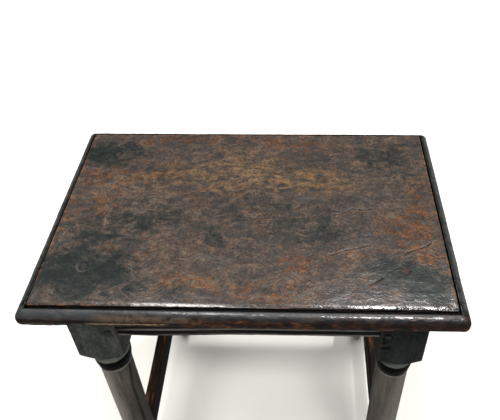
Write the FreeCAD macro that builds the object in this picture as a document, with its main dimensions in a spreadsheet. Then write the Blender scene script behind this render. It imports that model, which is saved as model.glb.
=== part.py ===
import FreeCAD, Part
import math
import os

import Sketcher

# A joined oak stool. Four turned legs with square blocks carry four rails at the top and four
# stretchers near the floor. Every rail and stretcher ends in tenons, which pegs hold in the
# mortises of the legs, and four more pegs hold the moulded seat board to the leg tops.
#
# Axes: X runs along the seat, Y runs from front to back, Z is up. The origin is on the floor
# under the middle of the seat. The front and the back frame each lie in a flat plane that leans
# inwards at the top by the rake, so the stool is wider at its feet, seen from its ends.
#
# Words used below: a drop is a distance down from the underside of the seat, and a depth is a
# distance inwards from the outer face of a leg.

SIZES = {
    "seat_length": 460,
    "seat_depth": 281,
    "seat_thickness": 26.5,
    "seat_height": 550,
    "field_rise": 3,
    "quirk_width": 1.8,
    "edge_top_round": 11,
    "edge_bottom_round": 9,
    "end_overhang": 25.5,
    "front_overhang": 35.5,
    "leg_square": 54,
    "rake": 6.9,
    "upper_block_length": 111.7,
    "shoulder_length": 15.3,
    "neck_radius": 21.3,
    "neck_length": 6,
    "ring_radius": 22.6,
    "ring_tail_radius": 20.3,
    "ring_length": 23,
    "ring_round": 45,
    "fillet_radius": 20.9,
    "fillet_length": 4,
    "column_radius": 20.4,
    "lower_block_above_stretcher": 16,
    "lower_block_below_stretcher": 12,
    "foot_shoulder_length": 12,
    "foot_neck_radius": 19.5,
    "foot_neck_length": 3,
    "foot_round": 60,
    "foot_sole_radius": 19,
    "foot_sole_length": 5,
    "rail_height": 78,
    "rail_thickness": 24,
    "rail_setback": 4,
    "bead_width": 5,
    "bead_round": 3.6,
    "hollow_width": 5.5,
    "hollow_round": 3.8,
    "moulding_relief": 1,
    "stretcher_top": 124,
    "stretcher_height": 47,
    "stretcher_thickness": 17.5,
    "stretcher_setback": 6.5,
    "tenon_thickness": 8,
    "tenon_setback": 10.5,
    "tenon_gap": 3,
    "rail_tenon_top_shoulder": 18,
    "rail_tenon_bottom_shoulder": 4,
    "stretcher_tenon_shoulder": 4,
    "cheek_fit": 0.15,
    "mortise_clearance": 1,
    "peg_hole_radius": 4,
    "peg_fit": 0.1,
    "peg_tip_radius": 3.1,
    "peg_proud": 1,
    "peg_inside_reach": 4,
    "peg_setback": 9,
    "seat_peg_hole_radius": 4.8,
    "seat_peg_tip_radius": 4,
    "seat_peg_depth": 15,
    "seat_peg_end_gap": 1,
    "seat_peg_outward_front": 3.5,
    "seat_peg_outward_back": 12.5,
    "seat_peg_inward_front_left": 5,
    "seat_peg_inward_front_right": 7,
    "seat_peg_inward_back_left": 0.5,
    "seat_peg_inward_back_right": 9.5,
    "cut_overrun": 5,
}

PEG_SIDES = 8
FULL_TURN = 360
RIGHT_ANGLE = 90

# Which way each side of the stool lies from its middle
SIDES = {"left": -1, "right": 1}
ENDS = {"front": -1, "back": 1}

doc = FreeCAD.newDocument("joint_stool")
sheet = doc.addObject("Spreadsheet::Sheet", "Sizes")
for row, (alias, value) in enumerate(SIZES.items(), start=1):
    sheet.set(f"A{row}", alias.replace("_", " "))
    sheet.set(f"B{row}", str(value))
    sheet.setAlias(f"B{row}", alias)
doc.recompute()

# Lengths that several pieces share, written as expressions on the sheet
HALF_LEG = "(Sizes.leg_square / 2)"
HALF_DIAGONAL = "(Sizes.leg_square / sqrt(2))"
UNDERSIDE = "(Sizes.seat_height - Sizes.seat_thickness)"
LEG_X = f"(Sizes.seat_length / 2 - Sizes.end_overhang - {HALF_LEG})"
LEG_Y = f"(Sizes.seat_depth / 2 - Sizes.front_overhang - {HALF_LEG} / cos(Sizes.rake))"
LEG_LENGTH = f"({UNDERSIDE} / cos(Sizes.rake))"
STRETCHER_DROP = f"({UNDERSIDE} - Sizes.stretcher_top)"
TENON_LENGTH = "(Sizes.leg_square - Sizes.tenon_setback - Sizes.tenon_thickness - Sizes.tenon_gap)"
SHOULDER_X = f"({LEG_X} - {HALF_LEG})"
PEG_LENGTH = "(Sizes.leg_square + Sizes.peg_proud + Sizes.peg_inside_reach)"
SEAT_PEG_LENGTH = "(Sizes.seat_thickness + Sizes.seat_peg_depth - Sizes.seat_peg_end_gap)"

# Where the pegs cross a tenon, as shares of its height from its upper edge. The pegs of the
# front and back frames pass above or below those of the sides.
RAIL_FRAME_PEG_SHARES = (0.46, 0.865)
RAIL_SIDE_PEG_SHARES = (0.145, 0.65)
STRETCHER_FRAME_PEG_SHARES = (0.32,)
STRETCHER_SIDE_PEG_SHARES = (0.68,)


def describe_member(top, bottom, setback, thickness, shoulders, frame_pegs, side_pegs):
    """The sizes of a rail or stretcher. Top and bottom are drops; shoulders are the upper and
    lower ones of its tenons."""
    tenon_top = f"({top} + {shoulders[0]})"
    tenon_bottom = f"({bottom} - {shoulders[1]})"

    def peg_drops(shares):
        return [f"({tenon_top} + {share} * ({tenon_bottom} - {tenon_top}))" for share in shares]

    return {
        "top": top,
        "bottom": bottom,
        "setback": setback,
        "thickness": thickness,
        "tenon_top": tenon_top,
        "tenon_bottom": tenon_bottom,
        "frame_pegs": peg_drops(frame_pegs),
        "side_pegs": peg_drops(side_pegs),
    }


RAIL = describe_member(
    "0",
    "Sizes.rail_height",
    "Sizes.rail_setback",
    "Sizes.rail_thickness",
    ("Sizes.rail_tenon_top_shoulder", "Sizes.rail_tenon_bottom_shoulder"),
    RAIL_FRAME_PEG_SHARES,
    RAIL_SIDE_PEG_SHARES,
)
STRETCHER = describe_member(
    STRETCHER_DROP,
    f"({STRETCHER_DROP} + Sizes.stretcher_height)",
    "Sizes.stretcher_setback",
    "Sizes.stretcher_thickness",
    ("Sizes.stretcher_tenon_shoulder", "Sizes.stretcher_tenon_shoulder"),
    STRETCHER_FRAME_PEG_SHARES,
    STRETCHER_SIDE_PEG_SHARES,
)


def number(expression):
    """The value that an expression on the sheet has now."""
    return float(sheet.evalExpression(expression))


def at_depth(sign, depth):
    """Place, from the middle of a leg, of what lies at a depth under the outer face."""
    return f"({sign} * ({HALF_LEG} - {depth}))"


def along_lean(drop):
    """A level drop, measured along a leaning leg instead of straight down."""
    return f"({drop} / cos(Sizes.rake))"


def new_body(label, x="0", y="0", z=UNDERSIDE, lean=0):
    """A piece with its own origin; lean is the way in which its top leans, along Y."""
    body = doc.addObject("PartDesign::Body", label)
    body.Label = label
    if lean:
        axis = FreeCAD.Vector(-lean, 0, 0)
        body.Placement = FreeCAD.Placement(
            FreeCAD.Vector(), FreeCAD.Rotation(axis, number("Sizes.rake"))
        )
        body.setExpression(".Placement.Rotation.Angle", "Sizes.rake")
    body.setExpression(".Placement.Base.x", x)
    body.setExpression(".Placement.Base.y", y)
    body.setExpression(".Placement.Base.z", z)
    return body


def new_sketch(body, plane, name, offset=None, level=0):
    """A sketch on one of the body's own planes, moved out along its normal where offset is
    given, and turned level with the floor where level names the way in which the body leans."""
    sketch = body.newObject("Sketcher::SketchObject", f"{body.Label}_{name}")
    support = next(item for item in body.Origin.OriginFeatures if item.Role == plane)
    sketch.AttachmentSupport = [(support, "")]
    sketch.MapMode = "FlatFace"
    if level:
        axis = FreeCAD.Vector(level, 0, 0)
        sketch.AttachmentOffset = FreeCAD.Placement(
            FreeCAD.Vector(), FreeCAD.Rotation(axis, number("Sizes.rake"))
        )
        sketch.setExpression(".AttachmentOffset.Rotation.Angle", "Sizes.rake")
    if offset:
        sketch.setExpression(".AttachmentOffset.Base.z", offset)
    return sketch


def constrain(sketch, kind, places, expression):
    """Add one dimension to a sketch and bind it to the sheet."""
    index = sketch.addConstraint(Sketcher.Constraint(kind, *places, number(expression)))
    sketch.setExpression(f"Constraints[{index}]", expression)


def place_point(sketch, geometry, position, x, y):
    """Fix a point of a sketch at x and y from the sketch's origin."""
    root = (-1, 1)
    for kind, axis, expression in (("DistanceX", -2, x), ("DistanceY", -1, y)):
        if expression == "0":
            sketch.addConstraint(Sketcher.Constraint("PointOnObject", geometry, position, axis))
        else:
            constrain(sketch, kind, (*root, geometry, position), expression)


def arc_between(start, end, radius):
    """The short arc from start to end. A positive radius swells to the left of the way."""
    chord = end - start
    left = FreeCAD.Vector(-chord.y, chord.x, 0).normalize()
    rise = abs(radius) - math.sqrt(radius**2 - chord.Length**2 / 4)
    middle = (start + end) / 2 + left * math.copysign(rise, radius)
    return Part.Arc(start, middle, end)


def draw_outline(sketch, corners):
    """A closed outline through corners, each an x and a y. A corner with a third entry, a
    radius, starts a round stretch: left of the way round if positive, right if negative."""
    points = [FreeCAD.Vector(number(corner[0]), number(corner[1]), 0) for corner in corners]
    stretches = []
    for index, corner in enumerate(corners):
        start = points[index]
        end = points[(index + 1) % len(points)]
        if len(corner) > 2:
            radius = corner[2]
            geometry = sketch.addGeometry(arc_between(start, end, number(radius)))
            constrain(sketch, "Radius", (geometry,), f"abs({radius})")
        else:
            geometry = sketch.addGeometry(Part.LineSegment(start, end))
        first, last = 1, 2
        if sketch.getPoint(geometry, first).distanceToPoint(start) > start.distanceToPoint(end) / 2:
            first, last = last, first
        stretches.append((geometry, first, last))
    for index, (geometry, first, _) in enumerate(stretches):
        before, _, last = stretches[index - 1]
        sketch.addConstraint(Sketcher.Constraint("Coincident", before, last, geometry, first))
        place_point(sketch, geometry, first, *corners[index][:2])


def draw_circles(sketch, centres, radius):
    """Circles of one radius, each centre an x and a y."""
    for x, y in centres:
        circle = Part.Circle(FreeCAD.Vector(number(x), number(y), 0), FreeCAD.Vector(0, 0, 1),
                             number(radius))
        geometry = sketch.addGeometry(circle)
        constrain(sketch, "Radius", (geometry,), radius)
        place_point(sketch, geometry, 3, x, y)


def extrude(body, kind, sketch, length=None):
    """A Pad or a Pocket, half to each side of its sketch, through everything with no length."""
    feature = body.newObject(f"PartDesign::{kind}", f"{sketch.Name}_{kind.lower()}")
    feature.Profile = sketch
    feature.SideType = "Symmetric"
    if length:
        feature.setExpression("Length", length)
    else:
        feature.Type = "ThroughAll"
    sketch.Visibility = False
    return feature


def turn(body, sketch):
    """Turn away, round the body's Z axis, what the sketch covers."""
    feature = body.newObject("PartDesign::Groove", f"{sketch.Name}_groove")
    feature.Profile = sketch
    feature.ReferenceAxis = (sketch, ["V_Axis"])
    feature.Angle = FULL_TURN
    sketch.Visibility = False
    return feature


# Seat board

def seat_edge(sign, half_width):
    """Corners of the moulded edge at one side of the board, from the field down to the
    underside: a quirk, a round on top, a short upright face and a round below."""
    quirk_floor = "(Sizes.seat_thickness - Sizes.field_rise)"
    field_edge = f"({half_width} - Sizes.edge_top_round - Sizes.quirk_width)"
    return [
        (f"({sign} * {field_edge})", "Sizes.seat_thickness"),
        (f"({sign} * {field_edge})", quirk_floor),
        (f"({sign} * ({half_width} - Sizes.edge_top_round))", quirk_floor,
         f"({sign} * Sizes.edge_top_round)"),
        (f"({sign} * {half_width})", f"({quirk_floor} - Sizes.edge_top_round)"),
        (f"({sign} * {half_width})", "Sizes.edge_bottom_round",
         f"({sign} * Sizes.edge_bottom_round)"),
        (f"({sign} * ({half_width} - Sizes.edge_bottom_round))", "0"),
    ]


def backwards(corners):
    """The same outline walked the other way: each radius moves to its stretch's new start."""
    radii = [corner[2] if len(corner) > 2 else None for corner in corners]
    walked = []
    for index in range(len(corners) - 1, -1, -1):
        radius = radii[index - 1] if index else None
        place = corners[index][:2]
        walked.append((*place, f"(-1 * {radius})") if radius else place)
    return walked


def seat_peg_place(side, end):
    """Where a seat peg stands, from the middle of the top of its leg."""
    inward = f"Sizes.seat_peg_inward_{end}_{side}"
    outward = f"Sizes.seat_peg_outward_{end}"
    return f"({-SIDES[side]} * {inward})", f"({ENDS[end]} * {outward})"


def make_seat():
    body = new_body("seat_top")
    half_depth = "(Sizes.seat_depth / 2)"
    half_length = "(Sizes.seat_length / 2)"
    section = new_sketch(body, "YZ_Plane", "section")
    draw_outline(section, seat_edge(1, half_depth) + backwards(seat_edge(-1, half_depth)))
    extrude(body, "Pad", section, "Sizes.seat_length")
    for side, sign in SIDES.items():
        outside = f"({sign} * ({half_length} + Sizes.cut_overrun))"
        above = "(Sizes.seat_thickness + Sizes.cut_overrun)"
        below = "(-1 * Sizes.cut_overrun)"
        edge = seat_edge(sign, half_length)
        waste = new_sketch(body, "XZ_Plane", f"{side}_edge")
        draw_outline(waste, [
            (edge[0][0], above),
            *edge[1:],
            (edge[-1][0], below),
            (outside, below),
            (outside, above),
        ])
        extrude(body, "Pocket", waste)
    holes = new_sketch(body, "XY_Plane", "peg_holes")
    centres = []
    for side in SIDES:
        for end in ENDS:
            x, y = seat_peg_place(side, end)
            centres.append((f"({SIDES[side]} * {LEG_X} + {x})", f"({ENDS[end]} * {LEG_Y} + {y})"))
    draw_circles(holes, centres, "Sizes.seat_peg_hole_radius")
    extrude(body, "Pocket", holes)
    return body


# Legs

def moulding_stack():
    """How far each moulding of the turned shaft lies past the block that it starts from."""
    neck = "Sizes.shoulder_length"
    ring = f"({neck} + Sizes.neck_length)"
    fillet = f"({ring} + Sizes.ring_length)"
    column = f"({fillet} + Sizes.fillet_length)"
    return neck, ring, fillet, column


def turned_end(block, way):
    """Profile from the corner of a block to the column: a sloping shoulder, a neck, a ring and
    a fillet. Way is -1 going down from the upper block and 1 going up from the lower one."""
    neck, ring, fillet, column = moulding_stack()

    def height(distance):
        return f"({block} + {way} * {distance})"

    return [
        (HALF_DIAGONAL, block),
        ("Sizes.neck_radius", height(neck)),
        ("Sizes.neck_radius", height(ring)),
        ("Sizes.ring_radius", height(ring), f"({-way} * Sizes.ring_round)"),
        ("Sizes.ring_tail_radius", height(fillet)),
        ("Sizes.fillet_radius", height(fillet)),
        ("Sizes.fillet_radius", height(column)),
        ("Sizes.column_radius", height(column)),
    ]


def turn_shaft(body):
    """The turned part between the two square blocks."""
    upper = "(-1 * Sizes.upper_block_length)"
    lower_drop = along_lean(f"({STRETCHER_DROP} - Sizes.lower_block_above_stretcher)")
    lower = f"(-1 * {lower_drop})"
    outside = f"({HALF_DIAGONAL} + Sizes.cut_overrun)"
    waste = new_sketch(body, "XZ_Plane", "shaft")
    draw_outline(waste, [
        (outside, upper),
        *turned_end(upper, -1),
        *backwards(turned_end(lower, 1)),
        (outside, lower),
    ])
    turn(body, waste)


def turn_foot(body):
    """The turned foot below the lower block."""
    block_drop = along_lean(
        f"({STRETCHER_DROP} + Sizes.stretcher_height + Sizes.lower_block_below_stretcher)"
    )
    shoulder_end = f"({block_drop} + Sizes.foot_shoulder_length)"
    neck_end = f"({shoulder_end} + Sizes.foot_neck_length)"
    sole_start = f"({LEG_LENGTH} - Sizes.foot_sole_length)"
    blank_end = f"({LEG_LENGTH} + 2 * Sizes.cut_overrun)"
    outside = f"({HALF_DIAGONAL} + Sizes.cut_overrun)"
    waste = new_sketch(body, "XZ_Plane", "foot")
    draw_outline(waste, [
        (outside, f"(-1 * {block_drop})"),
        (HALF_DIAGONAL, f"(-1 * {block_drop})"),
        ("Sizes.foot_neck_radius", f"(-1 * {shoulder_end})"),
        ("Sizes.foot_neck_radius", f"(-1 * {neck_end})", "Sizes.foot_round"),
        ("Sizes.foot_sole_radius", f"(-1 * {sole_start})"),
        ("Sizes.foot_sole_radius", f"(-1 * {blank_end})"),
        (outside, f"(-1 * {blank_end})"),
    ])
    turn(body, waste)


def cut_level(body, name, drop, way, lean):
    """Cut the end of a leg level with the floor. Way is 1 above the cut and -1 below it."""
    slope = f"({lean} * tan(Sizes.rake))"
    reach = f"({HALF_LEG} + Sizes.cut_overrun)"
    beyond = f"(-1 * {drop} + {way} * ({reach} * tan(Sizes.rake) + 3 * Sizes.cut_overrun))"
    waste = new_sketch(body, "YZ_Plane", name)
    draw_outline(waste, [
        (f"(-1 * {reach})", f"(-1 * {drop} - {slope} * {reach})"),
        (reach, f"(-1 * {drop} + {slope} * {reach})"),
        (reach, beyond),
        (f"(-1 * {reach})", beyond),
    ])
    extrude(body, "Pocket", waste)


def cut_frame_mortise(body, name, member, side, end):
    """Mortise for the rail or stretcher of the front or back frame, open towards the middle."""
    top = f"(Sizes.cheek_fit - {member['tenon_top']})"
    bottom = f"(-1 * Sizes.cheek_fit - {member['tenon_bottom']})"
    mouth = f"({-side} * ({HALF_LEG} + Sizes.cut_overrun))"
    back = f"({-side} * ({HALF_LEG} - {TENON_LENGTH} - Sizes.mortise_clearance))"
    middle = at_depth(end, "(Sizes.tenon_setback + Sizes.tenon_thickness / 2)")
    mortise = new_sketch(body, "XZ_Plane", name, offset=f"(-1 * {middle})")
    draw_outline(mortise, [(mouth, top), (back, top), (back, bottom), (mouth, bottom)])
    extrude(body, "Pocket", mortise, "(Sizes.tenon_thickness + 2 * Sizes.cheek_fit)")


def cut_side_mortise(body, name, member, side, end):
    """Mortise for a side rail or stretcher, which stays level while the leg leans."""
    mouth = f"({HALF_LEG} + Sizes.cut_overrun)"
    back = f"({HALF_LEG} - {TENON_LENGTH} - Sizes.mortise_clearance)"

    def corner(inward, drop):
        return f"({-end} * {inward})", f"({inward} * tan(Sizes.rake) - {along_lean(drop)})"

    top = f"({member['tenon_top']} - Sizes.cheek_fit)"
    bottom = f"({member['tenon_bottom']} + Sizes.cheek_fit)"
    middle = at_depth(side, "(Sizes.tenon_setback + Sizes.tenon_thickness / 2)")
    mortise = new_sketch(body, "YZ_Plane", name, offset=middle)
    draw_outline(mortise, [
        corner(mouth, top), corner(back, top), corner(back, bottom), corner(mouth, bottom),
    ])
    extrude(body, "Pocket", mortise, "(Sizes.tenon_thickness + 2 * Sizes.cheek_fit)")


def bore_leg(body, side, end):
    """Holes for the pegs of both rails and both stretchers, and the seat peg's hole on top."""
    inner = f"({HALF_LEG} - Sizes.peg_setback)"
    frame_holes = new_sketch(body, "XZ_Plane", "frame_peg_holes")
    drops = RAIL["frame_pegs"] + STRETCHER["frame_pegs"]
    draw_circles(frame_holes, [(f"({-side} * {inner})", f"(-1 * {drop})") for drop in drops],
                 "Sizes.peg_hole_radius")
    extrude(body, "Pocket", frame_holes)
    side_holes = new_sketch(body, "YZ_Plane", "side_peg_holes")
    drops = RAIL["side_pegs"] + STRETCHER["side_pegs"]
    draw_circles(side_holes, [(f"({-end} * {inner})", f"(-1 * {drop})") for drop in drops],
                 "Sizes.peg_hole_radius")
    extrude(body, "Pocket", side_holes)


def bore_leg_top(body, side_name, end_name):
    """Upright hole for the seat peg, bored from the level top of the leg."""
    hole = new_sketch(body, "XY_Plane", "seat_peg_hole", level=-ENDS[end_name])
    draw_circles(hole, [seat_peg_place(side_name, end_name)], "Sizes.seat_peg_hole_radius")
    extrude(body, "Pocket", hole, "(2 * Sizes.seat_peg_depth)")


def make_leg(side_name, end_name):
    side = SIDES[side_name]
    end = ENDS[end_name]
    body = new_body(f"leg_{end_name}_{side_name}", f"{side} * {LEG_X}", f"{end} * {LEG_Y}",
                    lean=-end)
    blank_top = f"({HALF_LEG} * tan(Sizes.rake) + Sizes.cut_overrun)"
    blank_end = f"(-1 * ({LEG_LENGTH} + Sizes.cut_overrun))"
    blank = new_sketch(body, "XZ_Plane", "blank")
    draw_outline(blank, [
        (f"(-1 * {HALF_LEG})", blank_end),
        (HALF_LEG, blank_end),
        (HALF_LEG, blank_top),
        (f"(-1 * {HALF_LEG})", blank_top),
    ])
    extrude(body, "Pad", blank, "Sizes.leg_square")
    turn_shaft(body)
    turn_foot(body)
    cut_level(body, "top_cut", "0", 1, -end)
    cut_level(body, "sole_cut", LEG_LENGTH, -1, -end)
    cut_frame_mortise(body, "rail_mortise", RAIL, side, end)
    cut_side_mortise(body, "side_rail_mortise", RAIL, side, end)
    cut_frame_mortise(body, "stretcher_mortise", STRETCHER, side, end)
    cut_side_mortise(body, "side_stretcher_mortise", STRETCHER, side, end)
    bore_leg(body, side, end)
    bore_leg_top(body, side_name, end_name)
    return body


# Rails and stretchers

def faces_across(sign, member):
    """Places of the outer and the inner face of a rail or stretcher, from the middle of a leg."""
    outer = at_depth(sign, member["setback"])
    inner = at_depth(sign, f"({member['setback']} + {member['thickness']})")
    return outer, inner


def moulded_face(face, sign):
    """Corners up the outer face of a rail, from its lower edge: a bead, a hollow and a bead."""
    foot = "(-1 * Sizes.rail_height)"
    sunk = f"({face} - {sign} * Sizes.moulding_relief)"
    hollow = f"({foot} + Sizes.bead_width)"
    upper_bead = f"({hollow} + Sizes.hollow_width)"
    plain = f"({upper_bead} + Sizes.bead_width)"
    return [
        (sunk, foot, f"({-sign} * Sizes.bead_round)"),
        (sunk, hollow, f"({sign} * Sizes.hollow_round)"),
        (sunk, upper_bead, f"({-sign} * Sizes.bead_round)"),
        (sunk, plain),
        (face, plain),
    ]


def rail_section(sign, slope):
    """Section of a rail, with its top planed to the seat. Slope is how much the top falls
    towards the outer face for each unit across it."""
    face, back = faces_across(sign, RAIL)
    return [
        *moulded_face(face, sign),
        (face, f"(-1 * {sign} * {face} * {slope})"),
        (back, f"(-1 * {sign} * {back} * {slope})"),
        (back, "(-1 * Sizes.rail_height)"),
    ]


def stretcher_section(sign):
    face, back = faces_across(sign, STRETCHER)
    top = f"(-1 * {STRETCHER['top']})"
    bottom = f"(-1 * {STRETCHER['bottom']})"
    return [(face, bottom), (face, top), (back, top), (back, bottom)]


def make_frame_member(kind, member, end_name):
    """The rail or stretcher of the front or back frame: square shoulders, upright tenons."""
    end = ENDS[end_name]
    body = new_body(f"{kind}_{end_name}", y=f"{end} * {LEG_Y}", lean=-end)
    section = new_sketch(body, "YZ_Plane", "section")
    if kind == "rail":
        draw_outline(section, rail_section(end, "tan(Sizes.rake)"))
    else:
        draw_outline(section, stretcher_section(end))
    extrude(body, "Pad", section, f"(2 * {SHOULDER_X})")
    outer = at_depth(end, "Sizes.tenon_setback")
    inner = at_depth(end, "(Sizes.tenon_setback + Sizes.tenon_thickness)")
    top = f"(-1 * {member['tenon_top']})"
    bottom = f"(-1 * {member['tenon_bottom']})"
    tenons = new_sketch(body, "YZ_Plane", "tenons")
    draw_outline(tenons, [(outer, bottom), (outer, top), (inner, top), (inner, bottom)])
    extrude(body, "Pad", tenons, f"(2 * ({SHOULDER_X} + {TENON_LENGTH}))")
    holes = new_sketch(body, "XZ_Plane", "peg_holes")
    centres = [
        (f"({side} * ({SHOULDER_X} + Sizes.peg_setback))", f"(-1 * {drop})")
        for side in SIDES.values()
        for drop in member["frame_pegs"]
    ]
    draw_circles(holes, centres, "Sizes.peg_hole_radius")
    extrude(body, "Pocket", holes)
    return body


def raked_end(inward, drop):
    """Distance from the middle of the stool, along Y and at a drop, of a plane that leans with
    the legs and lies inward of the middle of a leg."""
    return f"({LEG_Y} + {drop} * tan(Sizes.rake) - {inward} / cos(Sizes.rake))"


def make_side_member(kind, member, side_name):
    """The rail or stretcher of one side: level edges, with shoulders that follow the legs."""
    side = SIDES[side_name]
    body = new_body(f"{kind}_{side_name}", x=f"{side} * {LEG_X}")
    section = new_sketch(body, "XZ_Plane", "section")
    if kind == "rail":
        draw_outline(section, rail_section(side, "0"))
    else:
        draw_outline(section, stretcher_section(side))
    longest = raked_end(HALF_LEG, member["bottom"])
    extrude(body, "Pad", section, f"(2 * ({longest} + Sizes.cut_overrun))")
    above = f"({member['top']} - Sizes.cut_overrun)"
    below = f"({member['bottom']} + Sizes.cut_overrun)"
    outside = f"({longest} + 3 * Sizes.cut_overrun)"
    for end_name, end in ENDS.items():
        waste = new_sketch(body, "YZ_Plane", f"{end_name}_shoulder")
        draw_outline(waste, [
            (f"({end} * {raked_end(HALF_LEG, above)})", f"(-1 * {above})"),
            (f"({end} * {raked_end(HALF_LEG, below)})", f"(-1 * {below})"),
            (f"({end} * {outside})", f"(-1 * {below})"),
            (f"({end} * {outside})", f"(-1 * {above})"),
        ])
        extrude(body, "Pocket", waste)
    tip = f"({HALF_LEG} - {TENON_LENGTH})"
    upper = raked_end(tip, member["tenon_top"])
    lower = raked_end(tip, member["tenon_bottom"])
    middle = at_depth(side, "(Sizes.tenon_setback + Sizes.tenon_thickness / 2)")
    tenons = new_sketch(body, "YZ_Plane", "tenons", offset=middle)
    draw_outline(tenons, [
        (f"(-1 * {lower})", f"(-1 * {member['tenon_bottom']})"),
        (lower, f"(-1 * {member['tenon_bottom']})"),
        (upper, f"(-1 * {member['tenon_top']})"),
        (f"(-1 * {upper})", f"(-1 * {member['tenon_top']})"),
    ])
    extrude(body, "Pad", tenons, "Sizes.tenon_thickness")
    holes = new_sketch(body, "YZ_Plane", "peg_holes")
    centres = []
    for end in ENDS.values():
        for drop in member["side_pegs"]:
            y, z = side_peg_place(end, drop)
            centres.append((y, z))
    draw_circles(holes, centres, "Sizes.peg_hole_radius")
    extrude(body, "Pocket", holes)
    return body


# Pegs

def side_peg_place(end, drop):
    """Y of a side peg, and its Z from the underside of the seat. It is bored square to the
    side of a leaning leg, at a drop along that leg."""
    inner = f"({HALF_LEG} - Sizes.peg_setback)"
    y = f"({end} * ({LEG_Y} - {inner} * cos(Sizes.rake) + {drop} * sin(Sizes.rake)))"
    z = f"(-1 * ({inner} * sin(Sizes.rake) + {drop} * cos(Sizes.rake)))"
    return y, z


def frame_peg_place(end, drop):
    """Y and Z, as above, of the head of a peg in the front or back face of a leg."""
    head = f"({HALF_LEG} + Sizes.peg_proud)"
    y = f"({end} * ({LEG_Y} + {head} * cos(Sizes.rake) + {drop} * sin(Sizes.rake)))"
    z = f"({head} * sin(Sizes.rake) - {drop} * cos(Sizes.rake))"
    return y, z


def make_peg(label, head_radius, tip_radius, length):
    """A riven peg, shaved to eight sides and tapered, with its head at the origin."""
    body = new_body(label, z="0")
    head = new_sketch(body, "XY_Plane", "head")
    angles = [(corner + 0.5) * FULL_TURN / PEG_SIDES for corner in range(PEG_SIDES)]
    draw_outline(head, [(f"({head_radius} * cos({angle}))", f"({head_radius} * sin({angle}))")
                        for angle in angles])
    shaft = body.newObject("PartDesign::Pad", f"{label}_shaft")
    shaft.Profile = head
    shaft.Reversed = True
    shaft.setExpression("Length", length)
    narrowing = f"({head_radius} - {tip_radius}) * cos({FULL_TURN / PEG_SIDES / 2})"
    shaft.setExpression("TaperAngle", f"-atan({narrowing} / {length})")
    head.Visibility = False
    return body


def use_peg(peg, x, y, z, axis, turned):
    """One more copy of a peg, with its head at a place and turned about an axis."""
    copy = doc.addObject("App::Link", f"{peg.Label}_copy")
    copy.LinkedObject = peg
    copy.LinkPlacement = FreeCAD.Placement(
        FreeCAD.Vector(), FreeCAD.Rotation(FreeCAD.Vector(*axis), number(turned))
    )
    copy.setExpression(".LinkPlacement.Base.x", x)
    copy.setExpression(".LinkPlacement.Base.y", y)
    copy.setExpression(".LinkPlacement.Base.z", z)
    if turned != "0":
        copy.setExpression(".LinkPlacement.Rotation.Angle", turned)
    return copy


def group_pegs(label, copies):
    group = doc.addObject("Part::Compound", label)
    group.Label = label
    group.Links = copies
    return group


def make_member_pegs(kind, member, peg, side_name, end_name):
    """All pegs that one leg holds for its two rails, or for its two stretchers."""
    side = SIDES[side_name]
    end = ENDS[end_name]
    copies = []
    for drop in member["frame_pegs"]:
        y, z = frame_peg_place(end, drop)
        x = f"({side} * ({SHOULDER_X} + Sizes.peg_setback))"
        copies.append(use_peg(peg, x, y, f"({UNDERSIDE} + {z})", (-end, 0, 0),
                              f"({RIGHT_ANGLE} - Sizes.rake)"))
    for drop in member["side_pegs"]:
        y, z = side_peg_place(end, drop)
        x = f"({side} * ({LEG_X} + {HALF_LEG} + Sizes.peg_proud))"
        copies.append(use_peg(peg, x, y, f"({UNDERSIDE} + {z})", (0, side, 0), f"{RIGHT_ANGLE}"))
    return group_pegs(f"{kind}_pegs_{end_name}_{side_name}", copies)


def make_seat_pegs(peg):
    copies = []
    for side in SIDES:
        for end in ENDS:
            x, y = seat_peg_place(side, end)
            copies.append(use_peg(peg, f"({SIDES[side]} * {LEG_X} + {x})",
                                  f"({ENDS[end]} * {LEG_Y} + {y})", "Sizes.seat_height",
                                  (0, 0, 1), "0"))
    return group_pegs("seat_pegs", copies)


def make_stool():
    """Every piece of the stool, in the order in which the pieces go together."""
    pieces = []
    corners = [(side, end) for end in ENDS for side in SIDES]
    for side, end in corners:
        pieces.append(make_leg(side, end))
    for kind, member in (("rail", RAIL), ("stretcher", STRETCHER)):
        for end in ENDS:
            pieces.append(make_frame_member(kind, member, end))
        for side in SIDES:
            pieces.append(make_side_member(kind, member, side))
    pieces.append(make_seat())
    peg = make_peg("peg", "(Sizes.peg_hole_radius - Sizes.peg_fit)", "Sizes.peg_tip_radius",
                   PEG_LENGTH)
    seat_peg = make_peg("seat_peg", "(Sizes.seat_peg_hole_radius - Sizes.peg_fit)",
                        "Sizes.seat_peg_tip_radius", SEAT_PEG_LENGTH)
    for side, end in corners:
        for kind, member in (("rail", RAIL), ("stretcher", STRETCHER)):
            pieces.append(make_member_pegs(kind, member, peg, side, end))
    pieces.append(make_seat_pegs(seat_peg))
    return pieces


def check(pieces):
    """Stop if a feature failed, cuts nothing or leaves a shape that is not sound."""
    for item in doc.Objects:
        if "Invalid" in item.State or "Error" in item.State:
            raise RuntimeError(f"{item.Label} failed: {item.State}")
        if item.TypeId in ("PartDesign::Pocket", "PartDesign::Groove"):
            removed = item.BaseFeature.Shape.Volume - item.Shape.Volume
            if removed <= 0:
                raise RuntimeError(f"{item.Label} cuts nothing")
    for piece in pieces:
        if piece.Shape.isNull() or not piece.Shape.isValid():
            raise RuntimeError(f"{piece.Label} has no sound shape")


def export(pieces):
    os.makedirs("parts", exist_ok=True)
    for piece in pieces:
        piece.Shape.exportStep(f"parts/{piece.Label}.step")
        print(piece.Label, len(piece.Shape.Solids), "solids", round(piece.Shape.Volume), "mm3")


stool = make_stool()
doc.recompute()
check(stool)
export(stool)
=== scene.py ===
import functools
import math

import bmesh
import bpy
import numpy as np
from mathutils import Euler, Matrix, Vector


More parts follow.
